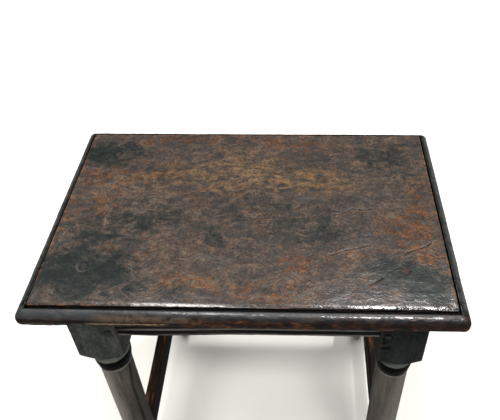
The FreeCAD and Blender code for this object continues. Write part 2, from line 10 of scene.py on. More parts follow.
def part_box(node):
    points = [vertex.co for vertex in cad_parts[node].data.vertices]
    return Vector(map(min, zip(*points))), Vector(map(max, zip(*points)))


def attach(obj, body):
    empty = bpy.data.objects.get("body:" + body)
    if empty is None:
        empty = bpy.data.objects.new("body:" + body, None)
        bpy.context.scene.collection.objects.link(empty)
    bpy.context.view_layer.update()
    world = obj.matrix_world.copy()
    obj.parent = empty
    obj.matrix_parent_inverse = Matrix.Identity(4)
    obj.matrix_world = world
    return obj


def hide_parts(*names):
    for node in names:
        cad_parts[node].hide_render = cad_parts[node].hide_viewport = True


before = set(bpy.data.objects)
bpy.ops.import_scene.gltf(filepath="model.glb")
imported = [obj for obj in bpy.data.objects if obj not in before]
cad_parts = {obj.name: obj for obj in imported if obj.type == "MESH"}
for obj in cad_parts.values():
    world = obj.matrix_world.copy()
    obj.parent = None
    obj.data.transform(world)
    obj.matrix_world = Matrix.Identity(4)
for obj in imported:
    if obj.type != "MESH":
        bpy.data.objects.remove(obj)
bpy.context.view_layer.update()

# A joined oak stool, dark with age and wax. All lengths are metres. The origin is on the floor
# under the middle of the seat, X runs along the seat and Y from front to back.

MM = 0.001
SIDES = {"left": -1, "right": 1}
ENDS = {"front": -1, "back": 1}

# Driving sizes
SEAT_LOW, SEAT_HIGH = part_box("seat_top")
UNDERSIDE = SEAT_LOW.z
SEAT_TOP = SEAT_HIGH.z
SEAT_THICKNESS = SEAT_TOP - UNDERSIDE
RAKE = math.radians(6.9)
HALF_LEG = 27 * MM
END_OVERHANG = 25.5 * MM
FRONT_OVERHANG = 35.5 * MM
LEG_X = SEAT_HIGH.x - END_OVERHANG - HALF_LEG
LEG_Y = SEAT_HIGH.y - FRONT_OVERHANG - HALF_LEG / math.cos(RAKE)
LEG_LENGTH = UNDERSIDE / math.cos(RAKE)

# Seat edge, from the field outwards
FIELD_RISE = 3 * MM
QUIRK_WIDTH = 1.8 * MM
EDGE_TOP_ROUND = 11 * MM
EDGE_BOTTOM_ROUND = 9 * MM
FIELD_HALF_X = SEAT_HIGH.x - EDGE_TOP_ROUND - QUIRK_WIDTH
FIELD_HALF_Y = SEAT_HIGH.y - EDGE_TOP_ROUND - QUIRK_WIDTH

# Rails and stretchers
RAIL_HEIGHT = 78 * MM
RAIL_THICKNESS = 24 * MM
RAIL_SETBACK = 4 * MM
BEAD_WIDTH = 5 * MM
BEAD_SWELL = 1 * MM
HOLLOW_WIDTH = 5.5 * MM
HOLLOW_DEPTH = 1.2 * MM
STRETCHER_HEIGHT = 47 * MM
STRETCHER_THICKNESS = 17.5 * MM
STRETCHER_SETBACK = 6.5 * MM
STRETCHER_TOP = 124 * MM
STRETCHER_DROP = UNDERSIDE - STRETCHER_TOP
TENON_MARGIN = 4 * MM


def tint(red, green, blue):
    """A colour as a painter mixes it, 0 to 255, made linear for the shader."""
    levels = [level / 255 for level in (red, green, blue)]
    linear = [v / 12.92 if v <= 0.04045 else ((v + 0.055) / 1.055) ** 2.4 for v in levels]
    return (*linear, 1.0)


# Node graphs

class Value:
    """One output of a node. Sums, products and comparisons of values add Math nodes."""

    def __init__(self, graph, socket):
        self.graph = graph
        self.socket = socket

    def also(self, name):
        """Another output of the same node."""
        return Value(self.graph, self.socket.node.outputs[name])

    def __neg__(self):
        return self * -1

    def __abs__(self):
        return self.graph.maths("ABSOLUTE", self)

    def least(self, other):
        return self.graph.maths("MINIMUM", self, other)

    def most(self, other):
        return self.graph.maths("MAXIMUM", self, other)

    def step(self, low, high):
        """0 below low, 1 above high and a soft step between them; low may be the larger."""
        return self.graph.node("ShaderNodeMapRange", {"interpolation_type": "SMOOTHSTEP"},
                               {"Value": self, "From Min": low, "From Max": high})

    def band(self, centre, outer, inner):
        """1 within inner of the centre, and 0 beyond outer."""
        return abs(self - centre).step(outer, inner)

    def plus(self, vector):
        return self.graph.vector("ADD", self, vector)

    def minus(self, vector):
        return self.graph.vector("SUBTRACT", self, vector)

    def times(self, vector):
        return self.graph.vector("MULTIPLY", self, vector)

    def length(self):
        return self.graph.vector("LENGTH", self, output=1)


def give_operator(name, operation):
    """Let an operator with a Value on either side add a Math node."""
    setattr(Value, f"__{name}__", lambda self, other: self.graph.maths(operation, self, other))
    setattr(Value, f"__r{name}__", lambda self, other: self.graph.maths(operation, other, self))


for operator_name, maths_name in (("add", "ADD"), ("sub", "SUBTRACT"), ("mul", "MULTIPLY"),
                                  ("truediv", "DIVIDE"), ("pow", "POWER")):
    give_operator(operator_name, maths_name)


def highest(values):
    return functools.reduce(Value.most, values)


class Graph:
    """A node tree of a material or of a geometry modifier. A colour is a Value or a tint."""

    def __init__(self, tree):
        self.tree = tree

    def fill(self, socket, content):
        """Link a value to a socket, or set what stays the same."""
        if isinstance(content, Value):
            self.tree.links.new(content.socket, socket)
        else:
            socket.default_value = content

    def node(self, kind, settings=None, inputs=None, output=0):
        """Add a node: its settings first, then the values or links of its sockets."""
        made = self.tree.nodes.new(kind)
        for name, setting in (settings or {}).items():
            setattr(made, name, setting)
        for name, content in (inputs or {}).items():
            self.fill(made.inputs[name], content)
        return Value(self, made.outputs[output]) if len(made.outputs) else None

    def maths(self, operation, *terms):
        return self.node("ShaderNodeMath", {"operation": operation}, dict(enumerate(terms)))

    def vector(self, operation, *terms, output=0):
        return self.node("ShaderNodeVectorMath", {"operation": operation},
                         dict(enumerate(terms)), output)

    def split(self, vector):
        x = self.node("ShaderNodeSeparateXYZ", inputs={0: vector})
        return x, x.also("Y"), x.also("Z")

    def join(self, x, y, z):
        return self.node("ShaderNodeCombineXYZ", inputs={0: x, 1: y, 2: z})

    def attribute(self, name, output="Fac"):
        return self.node("ShaderNodeAttribute", {"attribute_name": name}, output=output)

    def noise(self, vector, scale, detail, roughness=0.5, warp=0, stretch=None, output="Fac"):
        """Noise of about one feature for each 1 / scale metres, drawn out where stretch < 1."""
        if stretch:
            vector = vector.times(stretch)
        return self.node("ShaderNodeTexNoise", None, {
            "Vector": vector, "Scale": scale, "Detail": detail, "Roughness": roughness,
            "Distortion": warp}, output)

    def jitter(self, vector, scale, detail, roughness, size, stretch=None):
        """A vector that wanders round nought, by about half of size each way."""
        wander = self.noise(vector, scale, detail, roughness, 0, stretch, "Color")
        return wander.minus((0.5, 0.5, 0.5)).times(size)

    def mix(self, factor, first, second):
        first, second = (c if isinstance(c, Value) else tint(*c) for c in (first, second))
        return self.node("ShaderNodeMix", {"data_type": "RGBA"}, {0: factor, 6: first, 7: second}, 2)

    def paint(self, colour, *coats):
        """A colour with coats laid over it, each a share from 0 to 1 and a colour."""
        for share, coat in coats:
            colour = self.mix(share, colour, coat)
        return colour

    def ramp(self, value, *stops):
        """Colours along a value, each stop a position and a tint."""
        made = self.node("ShaderNodeValToRGB", None, {0: value})
        elements = made.socket.node.color_ramp.elements
        while len(elements) < len(stops):
            elements.new(1)
        for element, (position, colour) in zip(elements, stops):
            element.position = position
            element.color = tint(*colour)
        return made

    def bump(self, height, strength, distance):
        return self.node("ShaderNodeBump", None,
                         {"Height": height, "Strength": strength, "Distance": distance})

    def line_distance(self, place, points):
        """Distance in plan from a line of points on the seat."""
        distances = []
        for start, end in zip(points, points[1:]):
            away = place.minus((*start, 0))
            along = (end[0] - start[0], end[1] - start[1], 0)
            share = self.vector("DOT_PRODUCT", away, along, output=1) / (
                along[0] ** 2 + along[1] ** 2)
            foot = self.node("ShaderNodeVectorMath", {"operation": "SCALE"},
                             {0: along, "Scale": share.least(1).most(0)})
            distances.append(self.vector("DISTANCE", away, foot, output=1))
        return functools.reduce(Value.least, distances)


class Finish(Graph):
    """A material with one Principled shader."""

    def __init__(self, name):
        self.material = bpy.data.materials.new(name)
        self.material.use_nodes = True
        super().__init__(self.material.node_tree)

    def shade(self, sockets):
        shader = self.tree.nodes["Principled BSDF"]
        for name, content in sockets.items():
            self.fill(shader.inputs[name], content)
        return self.material


def new_tree(name, **inputs):
    """The graph of new geometry nodes, with the names of its inputs under their types."""
    tree = bpy.data.node_groups.new(name, "GeometryNodeTree")
    for kind, names in inputs.items():
        for socket in names:
            tree.interface.new_socket(socket, in_out="INPUT", socket_type=f"NodeSocket{kind}")
    tree.interface.new_socket("Geometry", in_out="OUTPUT", socket_type="NodeSocketGeometry")
    return Graph(tree)


# Smooth noise for the meshes that are built point by point

HASH_STEPS = (73856093, 19349663, 83492791)
HASH_SIZE = 8192


def soft_part(part):
    return part * part * (3 - 2 * part)


def soft_noise(points, sizes, seed):
    """Smooth noise from -1 to 1 at each point. Sizes are the lengths of its bumps in X, Y, Z."""
    table = np.random.default_rng(seed).uniform(-1, 1, HASH_SIZE)
    at = np.asarray(points, float) / np.asarray(sizes, float)
    cell = np.floor(at).astype(np.int64)
    part = soft_part(at - cell)
    total = np.zeros(len(at))
    for corner in np.ndindex(2, 2, 2):
        key = np.bitwise_xor.reduce((cell + corner) * HASH_STEPS, axis=1)
        total += table[key % HASH_SIZE] * np.prod(np.where(corner, part, 1 - part), axis=1)
    return total


def rough_noise(points, sizes, seed, layers=3):
    """Soft noise with finer layers added, each half as long and half as high."""
    shares = [0.5 ** layer for layer in range(layers)]
    return sum(share * soft_noise(points, np.asarray(sizes) * share, seed + layer)
               for layer, share in enumerate(shares))


def soft_step(values, low, high):
    return soft_part(np.clip((values - low) / (high - low), 0, 1))


def distance_to_line(points, line):
    """Distance in plan of each point from a line of points."""
    nearest = np.full(len(points), np.inf)
    for start, end in zip(line, line[1:]):
        start = np.array(start)
        along = np.array(end) - start
        away = points[:, :2] - start
        share = np.clip(away @ along / (along @ along), 0, 1)
        distance = np.linalg.norm(away - share[:, None] * along, axis=1)
        nearest = np.minimum(nearest, distance)
    return nearest


def show(name, data):
    made = bpy.data.objects.new(name, data)
    bpy.context.scene.collection.objects.link(made)
    return made


def new_piece(name, points, faces):
    """A mesh object with its place in its points and its faces turned outwards."""
    mesh = bpy.data.meshes.new(name)
    mesh.from_pydata([tuple(point) for point in points], [], faces)
    mesh.update()
    made = bmesh.new()
    made.from_mesh(mesh)
    if made.calc_volume(signed=True) < 0:
        bmesh.ops.reverse_faces(made, faces=made.faces)
    made.to_mesh(mesh)
    made.free()
    mesh.shade_smooth()
    return show(name, mesh)


def read_points(mesh, what="co"):
    values = np.empty(len(mesh.vertices) * 3)
    mesh.vertices.foreach_get(what, values)
    return values.reshape(-1, 3)


def write_points(mesh, points):
    mesh.vertices.foreach_set("co", points.ravel())
    mesh.update()


def sink(mesh, depths):
    """Move each point inwards along its normal by its depth."""
    inwards = read_points(mesh, "normal") * np.maximum(depths, 0)[:, None]
    write_points(mesh, read_points(mesh) - inwards)


def store(mesh, name, values):
    """Keep one number, or one vector, for each point of a mesh."""
    values = np.asarray(values, np.float32)
    kind, field = ("FLOAT", "value") if values.ndim == 1 else ("FLOAT_VECTOR", "vector")
    mesh.attributes.new(name, kind, "POINT").data.foreach_set(field, values.ravel())


def put_in_frame(piece, material, nodes):
    """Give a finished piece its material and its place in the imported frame."""
    piece.data.materials.clear()
    piece.data.materials.append(material)
    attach(piece, "root")
    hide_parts(*nodes)


# Marks on the seat, seen from above: open checks along the grain, a dent and a scratch.
# Each has its line of points, its width and its depth. Only a share of the depth is cut.
MARK_SHARE = 0.3
SEAT_MARKS = {
    "check_middle": ([(0.0975, -0.0078), (0.1065, -0.0072), (0.1112, -0.0046), (0.1160, -0.0012),
                      (0.1205, 0.0016), (0.1300, -0.0004), (0.1430, 0.0010)], 1.2 * MM, 1.1 * MM),
    "check_front": ([(0.0900, -0.0645), (0.1000, -0.0612), (0.1083, -0.0571), (0.1225, -0.0542),
                     (0.1359, -0.0501)], 1.1 * MM, 1.0 * MM),
    "check_end": ([(0.1705, -0.0637), (0.1765, -0.0590), (0.1839, -0.0560), (0.1953, -0.0519),
                   (0.2038, -0.0465)], 1.3 * MM, 1.2 * MM),
    "dent_front": ([(0.1315, -0.1000), (0.1385, -0.0968), (0.1462, -0.0915)], 1.8 * MM, 1.3 * MM),
    "scratch": ([(0.1826, -0.0605), (0.1838, -0.0660), (0.1856, -0.0722)], 0.9 * MM, 0.6 * MM),
    "check_edge": ([(0.1990, -0.0610), (0.2060, -0.0660), (0.2145, -0.0655)], 1.1 * MM, 0.9 * MM),
    "check_left": ([(-0.0560, -0.0690), (-0.0450, -0.0675), (-0.0330, -0.0715)],
                   0.9 * MM, 0.5 * MM),
    "check_back": ([(0.0600, 0.0155), (0.0760, 0.0170), (0.0900, 0.0145)], 0.9 * MM, 0.5 * MM),
    "check_far": ([(-0.0200, 0.0480), (-0.0040, 0.0500), (0.0130, 0.0470)], 0.8 * MM, 0.4 * MM),
}

# Places where the field's front arris has lost a chip: X, length along the edge, depth
ARRIS_CHIPS = [(-0.0232, 3 * MM, 1.6 * MM), (0.1560, 5 * MM, 2.3 * MM), (0.1415, 2 * MM, 1.3 * MM),
               (0.0710, 2 * MM, 1.0 * MM), (-0.1113, 2.5 * MM, 1.1 * MM),
               (0.0150, 2 * MM, 0.9 * MM), (0.1900, 3 * MM, 1.2 * MM)]

# Seat board

FIELD_STEP = 1.45 * MM
ARRIS_INSET = 3.4 * MM
FIELD_CORNER = 0.8 * MM
EDGE_CORNER = 1 * MM
CORNER_ROUND = 5.5 * MM
QUIRK_UNDERCUT = 0.5 * MM
QUIRK_WALL = 2.4 * MM
QUIRK_DEPTH = 3.0 * MM
QUIRK_LIP = 0.5 * MM
COARSE = 4


def grid_points(half_x, half_y, across, deep, height):
    xs, ys = np.meshgrid(np.linspace(-half_x, half_x, across + 1),
                         np.linspace(-half_y, half_y, deep + 1))
    return np.stack([xs.ravel(), ys.ravel(), np.full(xs.size, height)], 1)


def grid_faces(across, deep, start=0):
    row = across + 1
    firsts = [start + j * row + i for j in range(deep) for i in range(across)]
    return [(k, k + 1, k + 1 + row, k + row) for k in firsts]


def grid_border(across, deep, start=0):
    """Indices round a grid from its front left corner, counter-clockwise from above."""
    def at(i, j):
        return start + j * (across + 1) + i

    return ([at(i, 0) for i in range(across)] + [at(across, j) for j in range(deep)]
            + [at(i, deep) for i in range(across, 0, -1)] + [at(0, j) for j in range(deep, 0, -1)])


def round_corners(loop, half_x, half_y, radius):
    """The same loop with its four corners bent to arcs."""
    size = np.abs(loop)
    gap_x = half_x - size[:, 0]
    gap_y = half_y - size[:, 1]
    gap = gap_x + gap_y
    turn = np.pi / 4 * (1 - gap / radius)
    on_front = gap_y <= gap_x
    reach_x = half_x - radius + radius * np.where(on_front, np.sin(turn), np.cos(turn))
    reach_y = half_y - radius + radius * np.where(on_front, np.cos(turn), np.sin(turn))
    bent = np.where((gap < radius)[:, None], np.stack([reach_x, reach_y], 1), size)
    return bent * np.where(loop < 0, -1.0, 1.0)


def turns(step):
    return [math.radians(degrees) for degrees in range(0, 91, step)]


def seat_profile(arris):
    """Steps of the edge, each an offset from the inner field loop, a height over the underside
    and a corner radius. Arris is how far the field's edge is worn round at each point."""
    quirk_floor = SEAT_THICKNESS - FIELD_RISE
    steps = [(ARRIS_INSET - arris * (1 - math.sin(turn)),
              SEAT_THICKNESS - arris * (1 - math.cos(turn)), FIELD_CORNER) for turn in turns(18)]
    steps.append((ARRIS_INSET - QUIRK_UNDERCUT, quirk_floor - QUIRK_WALL, FIELD_CORNER))
    steps.append((ARRIS_INSET + 0.5 * QUIRK_WIDTH, quirk_floor - QUIRK_DEPTH, EDGE_CORNER))
    top_centre = ARRIS_INSET + QUIRK_WIDTH
    for turn in turns(9):
        lip = 0 if turn else QUIRK_LIP
        steps.append((top_centre + EDGE_TOP_ROUND * math.sin(turn),
                      quirk_floor - EDGE_TOP_ROUND * (1 - math.cos(turn)) - lip,
                      EDGE_CORNER + CORNER_ROUND * math.sin(turn)))
    bottom_centre = top_centre + EDGE_TOP_ROUND - EDGE_BOTTOM_ROUND
    steps += [(bottom_centre + EDGE_BOTTOM_ROUND * math.cos(turn),
               EDGE_BOTTOM_ROUND * (1 - math.sin(turn)),
               EDGE_CORNER + CORNER_ROUND * math.cos(turn)) for turn in turns(15)]
    return steps


def worn_arris(loop, inner_y):
    """How far the field's edge is worn round at each point of its loop."""
    at = np.column_stack([loop, np.zeros(len(loop))])
    arris = 1.15 * MM + 0.55 * MM * rough_noise(at, (9 * MM, 9 * MM, 1), 11)
    front = loop[:, 1] < -inner_y + 0.1 * MM
    arris -= np.where(front, 0.3 * MM, 0)
    for x, length, depth in ARRIS_CHIPS:
        arris += np.where(front, depth * np.exp(-((loop[:, 0] - x) / length) ** 2), 0)
    return np.clip(arris, 0.35 * MM, FIELD_RISE - 0.15 * MM)


def make_seat_board():
    """The board: a dished, rippled field, a worn arris, a quirk and a rounded edge."""
    inner_x = FIELD_HALF_X - ARRIS_INSET
    inner_y = FIELD_HALF_Y - ARRIS_INSET
    across = COARSE * round(2 * inner_x / FIELD_STEP / COARSE)
    deep = COARSE * round(2 * inner_y / FIELD_STEP / COARSE)
    field = grid_points(inner_x, inner_y, across, deep, SEAT_TOP)
    faces = grid_faces(across, deep)
    loops = [grid_border(across, deep)]
    loop = field[loops[0], :2]
    rings = []
    used = len(field)
    for offset, height, corner in seat_profile(worn_arris(loop, inner_y)):
        offset = np.broadcast_to(offset, len(loop))
        scale = np.stack([(inner_x + offset) / inner_x, (inner_y + offset) / inner_y], 1)
        ring = round_corners(loop * scale, inner_x + offset, inner_y + offset, corner)
        rings.append(np.column_stack([ring, np.broadcast_to(UNDERSIDE + height, len(loop))]))
        loops.append(list(range(used, used + len(loop))))
        used += len(loop)
    for inner, outer in zip(loops, loops[1:]):
        faces += zip(inner, outer, outer[1:] + outer[:1], inner[1:] + inner[:1])
    coarse = (across // COARSE, deep // COARSE)
    bottom = grid_points(inner_x - 4 * MM, inner_y - 4 * MM, *coarse, UNDERSIDE)
    faces += [face[::-1] for face in grid_faces(*coarse, used)]
    edge = grid_border(*coarse, used)
    rim = loops[-1]
    for k in range(len(edge)):
        fine = [rim[(COARSE * k + j) % len(rim)] for j in range(COARSE + 1)]
        faces.append((*fine, edge[(k + 1) % len(edge)], edge[k]))
    piece = new_piece("seat_board", np.vstack([field, *rings, bottom]), faces)
    wear_seat(piece.data)
    rub_front(piece.data)
    return piece


def outside_field(points):
    return np.maximum(np.abs(points[:, 0]) - FIELD_HALF_X, np.abs(points[:, 1]) - FIELD_HALF_Y)


def wear_seat(mesh):
    """Sink the seat's surface where it is dished, rippled, cracked, dented or chipped."""
    points = read_points(mesh)

    def soft(x, y, z, seed):
        return soft_noise(points, (x * MM, y * MM, z), seed)

    height = points[:, 2] - UNDERSIDE
    outside = outside_field(points)
    on_top = soft_step(height, SEAT_THICKNESS - 1.5 * MM, SEAT_THICKNESS - 0.6 * MM)
    inside = on_top * soft_step(-outside, 1 * MM, 9 * MM)
    ripple = rough_noise(points, (17 * MM, 4.2 * MM, 1), 21)
    pocks = soft_step(soft(6, 3.4, 1, 23), 0.45, 0.85)
    depth = inside * (0.55 * MM + 0.26 * MM * soft(90, 55, 1, 22) + 0.09 * MM * ripple
                      + 0.12 * MM * pocks + 0.04 * MM * soft(4, 9, 1, 24))
    shifted = points + 0.5 * MM * np.column_stack([
        soft(3, 3, 1, 25), soft(3, 3, 1, 26), np.zeros(len(points))])
    for line, width, dent in SEAT_MARKS.values():
        near = distance_to_line(shifted, line)
        depth += on_top * MARK_SHARE * dent * np.exp(-(near / (0.75 * width)) ** 2)
    edge = soft_step(outside, QUIRK_WIDTH + 0.5 * MM, QUIRK_WIDTH + 3 * MM)
    dents = rough_noise(points, (16 * MM, 16 * MM, 7 * MM), 31, 4)
    lower = soft_step(-height, -9 * MM, -1 * MM) * soft_step(outside, -1 * MM, 4 * MM)
    nicks = soft_step(soft(7, 7, 5 * MM, 33), 0.35, 0.8)
    depth += edge * (0.28 * MM + 0.24 * MM * dents)
    depth += lower * (0.3 * MM + 0.9 * MM * nicks)
    broken = (soft_step(-points[:, 0], 0.150, 0.165) * soft_step(-points[:, 1], 0.128, 0.138)
              * soft_step(-height, -8 * MM, -2 * MM))
    depth += broken * (1 + soft(5, 5, 6 * MM, 35)) * 1.6 * MM
    sink(mesh, depth)


def rub_front(mesh):
    """Lower the front of the field in a slow curve over its last centimetre."""
    points = read_points(mesh)
    over_quirk = np.maximum(points[:, 2] - (SEAT_TOP - FIELD_RISE), 0)
    above = np.where(outside_field(points) < 0.2 * MM, over_quirk, 0)
    to_front = np.maximum(points[:, 1] + FIELD_HALF_Y, 0)
    uneven = 1 + 0.35 * soft_noise(points, (14 * MM, 30 * MM, 1), 37)
    right = soft_step(points[:, 0], 0.0, 0.120)
    points[:, 2] -= above * uneven * ((0.56 + 0.12 * right)
                                      * np.exp(-to_front / ((4.8 + 2.4 * right) * MM)))
    write_points(mesh, points)


# Turned legs

LEG_SIDES = 152
LEG_ROWS = 380
CORNER_CROWDING = 0.45
LEG_LOT = 1.7
BLOCK_ABOVE_STRETCHER = 16 * MM
BLOCK_BELOW_STRETCHER = 12 * MM
MOULDING_STEP = 0.4 * MM
LEG_SIZES = {
    "Length": LEG_LENGTH, "Half Square": HALF_LEG, "Arris Power": 30.0, "Upper Block": 111.7 * MM,
    "Lower Block Top": (STRETCHER_DROP - BLOCK_ABOVE_STRETCHER) / math.cos(RAKE),
    "Lower Block Bottom": (STRETCHER_DROP + STRETCHER_HEIGHT + BLOCK_BELOW_STRETCHER)
    / math.cos(RAKE),
    "Shoulder Length": 15.3 * MM, "Shoulder Hollow": 1.7 * MM,
    "Neck Radius": 21.3 * MM, "Neck Length": 6 * MM,
    "Ring Radius": 22.6 * MM, "Ring Tail Radius": 20.3 * MM,
    "Ring Length": 23 * MM, "Ring Swell": 1.5 * MM,
    "Fillet Radius": 20.9 * MM, "Fillet Length": 4 * MM, "Column Radius": 20.4 * MM,
    "Foot Shoulder Length": 12 * MM, "Foot Neck Radius": 19.5 * MM, "Foot Swell": 4.2 * MM,
    "Sole Radius": 19 * MM, "Sole Length": 5 * MM, "Wear": 0.7 * MM,
}


def shape_node(graph, kind, geometry, **inputs):
    """A geometry node that alters what it is given."""
    return graph.node(f"GeometryNode{kind}", None, {"Geometry": geometry, **inputs})


def leg_tree():
    """Geometry nodes of one leg: a square blank, limited by the turner's profile."""
    sizes = [*LEG_SIZES, "Slope", "Lot"]
    graph = new_tree("turned_leg", Float=sizes, Vector=["Rotation", "Place"], Material=["Oak"])
    given = graph.node("NodeGroupInput")
    size = {name: given.also(name) for name in sizes}
    blank = graph.node("GeometryNodeMeshCylinder", {"fill_type": "NGON"},
                       {"Vertices": LEG_SIDES, "Side Segments": LEG_ROWS, "Radius": 1.0,
                        "Depth": size["Length"]})
    x, y, z = graph.split(graph.node("GeometryNodeInputPosition"))
    even = graph.maths("ARCTAN2", y, x)
    angle = even + graph.maths("SINE", even * 4) * (-CORNER_CROWDING / 4)
    cosine = graph.maths("COSINE", angle)
    sine = graph.maths("SINE", angle)
    down = size["Length"] / 2 - z
    shift = graph.join(cosine * size["Half Square"], sine * size["Half Square"], down).plus(
        graph.join(size["Lot"], 0.0, 0.0))
    radius = graph.maths("SMOOTH_MIN", square_radius(graph, size, cosine, sine, shift),
                         leg_profile(size, down), 0.9 * MM)
    radius = radius - leg_wear(graph, size, cosine, sine, down, shift)
    local_y = radius * sine
    near_end = down.step(40 * MM, 0.0).most((size["Length"] - down).step(16 * MM, 0.0))
    local = graph.join(radius * cosine, local_y, local_y * size["Slope"] * near_end - down)
    shaped = shape_node(graph, "SetPosition", blank, Position=local)
    for name, kind, content in (("grain", "FLOAT_VECTOR", graph.node("GeometryNodeInputPosition")),
                                ("lot", "FLOAT", size["Lot"])):
        shaped = graph.node("GeometryNodeStoreNamedAttribute",
                            {"data_type": kind, "domain": "POINT"},
                            {"Geometry": shaped, "Name": name, "Value": content})
    moved = shape_node(graph, "Transform", shaped, Translation=given.also("Place"),
                       Rotation=given.also("Rotation"))
    whole = shape_node(graph, "RealizeInstances", moved)
    dressed = shape_node(graph, "SetMaterial", whole, Material=given.also("Oak"))
    graph.node("NodeGroupOutput", None, {"Geometry": dressed})
    return graph.tree


def square_radius(graph, size, cosine, sine, shift):
    """Distance from the axis to the face of the square, with its arrises worn round."""
    power = size["Arris Power"] * (0.45 + 1.1 * graph.noise(shift, 38, 3, 0.6))
    total = abs(cosine) ** power + abs(sine) ** power
    return size["Half Square"] / total ** (1 / power)


def stretch_of(distance, start, length, first, last, swell):
    """Radius of one moulding between two radii, swollen or hollowed between its ends."""
    share = (distance - start) / length
    return first + (last - first) * share + swell * 4 * share * (1 - share)


def stacked(distance, radius, followers):
    """A radius that gives way to each follower over a short step where that one starts."""
    for start, following in followers:
        step = distance.step(start - MOULDING_STEP, start + MOULDING_STEP)
        radius = radius + (following - radius) * step
    return radius


def stacked_end(size, distance):
    """Radius past the end of a block: hollow shoulder, neck, ring, fillet and column."""
    neck = size["Shoulder Length"]
    ring = neck + size["Neck Length"]
    fillet = ring + size["Ring Length"]
    shoulder = stretch_of(distance, 0.0, neck, size["Half Square"] * math.sqrt(2),
                          size["Neck Radius"], -size["Shoulder Hollow"])
    ring_radius = stretch_of(distance, ring, size["Ring Length"], size["Ring Radius"],
                             size["Ring Tail Radius"], size["Ring Swell"])
    return stacked(distance, shoulder, (
        (neck, size["Neck Radius"]), (ring, ring_radius), (fillet, size["Fillet Radius"]),
        (fillet + size["Fillet Length"], size["Column Radius"])))


def leg_profile(size, down):
    """Radius of the turned profile along the leg."""
    upper = stacked_end(size, down - size["Upper Block"])
    lower = stacked_end(size, size["Lower Block Top"] - down)
    middle = (size["Upper Block"] + size["Lower Block Top"]) / 2
    shaft = upper + (lower - upper) * down.step(middle - 10 * MM, middle + 10 * MM)
    past = down - size["Lower Block Bottom"]
    neck = size["Foot Shoulder Length"]
    shoulder = stretch_of(past, 0.0, neck, size["Half Square"] * math.sqrt(2),
                          size["Foot Neck Radius"], -2 * MM)
    ball_start = neck + 3 * MM
    ball_length = size["Length"] - size["Lower Block Bottom"] - size["Sole Length"] - ball_start
    ball = stretch_of(past, ball_start, ball_length, size["Foot Neck Radius"],
                      size["Sole Radius"], size["Foot Swell"])
    foot = stacked(past, shoulder, (
        (neck, size["Foot Neck Radius"]), (ball_start, ball),
        (ball_start + ball_length, size["Sole Radius"])))
    boundary = (size["Lower Block Top"] + size["Lower Block Bottom"]) / 2
    return shaft + (foot - shaft) * down.step(boundary - 1 * MM, boundary + 1 * MM)


def leg_wear(graph, size, cosine, sine, down, shift):
    """How much the leg has lost: dents, an uneven turning and bruised corners."""
    dents = graph.noise(shift, 55, 4, 0.6, 0, (1, 1, 0.5))
    bruises = graph.noise(shift, 90, 2, 0.5, 0, (1, 1, 0.7)).step(0.62, 0.8)
    corner = abs(abs(cosine) - abs(sine)).step(0.3, 0.0)
    flutes = graph.noise(shift, 120, 2, 0.5, 0, (1, 1, 0.05))
    foot = (size["Length"] - down).step(7 * MM, 0.0)
    return (size["Wear"] * (0.35 * dents + 0.25 * flutes + (0.3 + 1.6 * corner) * bruises)
            + foot * (0.6 * MM + 1.6 * MM * dents))


def grow(name, tree, values, base=None):
    """Run geometry nodes once and keep the plain mesh that they make."""
    piece = show(name, base or bpy.data.meshes.new(name))
    modifier = piece.modifiers.new("shape", "NODES")
    modifier.node_group = tree
    for item in tree.interface.items_tree:
        if item.item_type == "SOCKET" and item.in_out == "INPUT" and item.name in values:
            modifier[item.identifier] = values[item.name]
    piece.update_tag()
    bpy.context.view_layer.update()
    graph = bpy.context.evaluated_depsgraph_get()
    made = bpy.data.meshes.new_from_object(piece.evaluated_get(graph),
                                           preserve_all_data_layers=True, depsgraph=graph)
    piece.modifiers.remove(modifier)
    piece.data = made
    made.shade_smooth()
    return piece


def make_leg(tree, side_name, end_name, number, material):
    lean = -ENDS[end_name]
    return grow(f"turned_leg_{end_name}_{side_name}", tree, {
        **LEG_SIZES, "Slope": lean * math.tan(RAKE), "Lot": LEG_LOT * (number + 1),
        "Rotation": (-lean * RAKE, 0.0, 0.0), "Oak": material,
        "Place": (SIDES[side_name] * LEG_X, ENDS[end_name] * LEG_Y, UNDERSIDE)})


JOINT_REACH = 3 * MM
JOINT_GAP = 0.4 * MM
JOINT_WIDTH = 1.1 * MM
JOINT_DEPTH = 0.5 * MM
DIMPLE_DEPTH = 2.4 * MM


def bore_leg(piece, places, sunk):
    """Dark, slightly sunk joints in a leg's surface round its pegs. The peg numbered sunk has
    shrunk into its hole, which shows as a dimple painted dark with painted shade."""
    points = read_points(piece.data)
    joint_and_hole_shade = np.zeros(len(points))
    depth = np.zeros(len(points))
    for number, (spot, way) in enumerate(places):
        away = points - np.array(spot)
        along = away @ np.array(way)
        far = np.linalg.norm(away - np.outer(along, np.array(way)), axis=1)
        near = np.abs(along) < JOINT_REACH
        ring = np.exp(-((far - PEG_RADIUS - JOINT_GAP) / JOINT_WIDTH) ** 2)
        if number == sunk:
            ring = soft_step(-far, -PEG_RADIUS - 1.2 * MM, -PEG_RADIUS)
            depth += np.where(near, DIMPLE_DEPTH * ring, 0)
        joint_and_hole_shade = np.maximum(joint_and_hole_shade, np.where(near, ring, 0))
        depth += np.where(near, JOINT_DEPTH * ring, 0)
    sink(piece.data, depth)
    store(piece.data, "joint_and_hole_shade", joint_and_hole_shade)


# Rails and stretchers

BAR_STEP = 1.7 * MM
BAR_ROUND = 1.5 * MM
BAR_LOT = 2.3
ARRIS_REACH = 2 * MM
SOFTEN_STEP = 0.3 * MM
STUB = 1.5 * MM
RAIL_WEAR = 0.8 * MM
STRETCHER_WEAR = 1.1 * MM
# The lower edge of the front rail climbs by this much from its left end to its middle
RAIL_CLIMB = 5 * MM


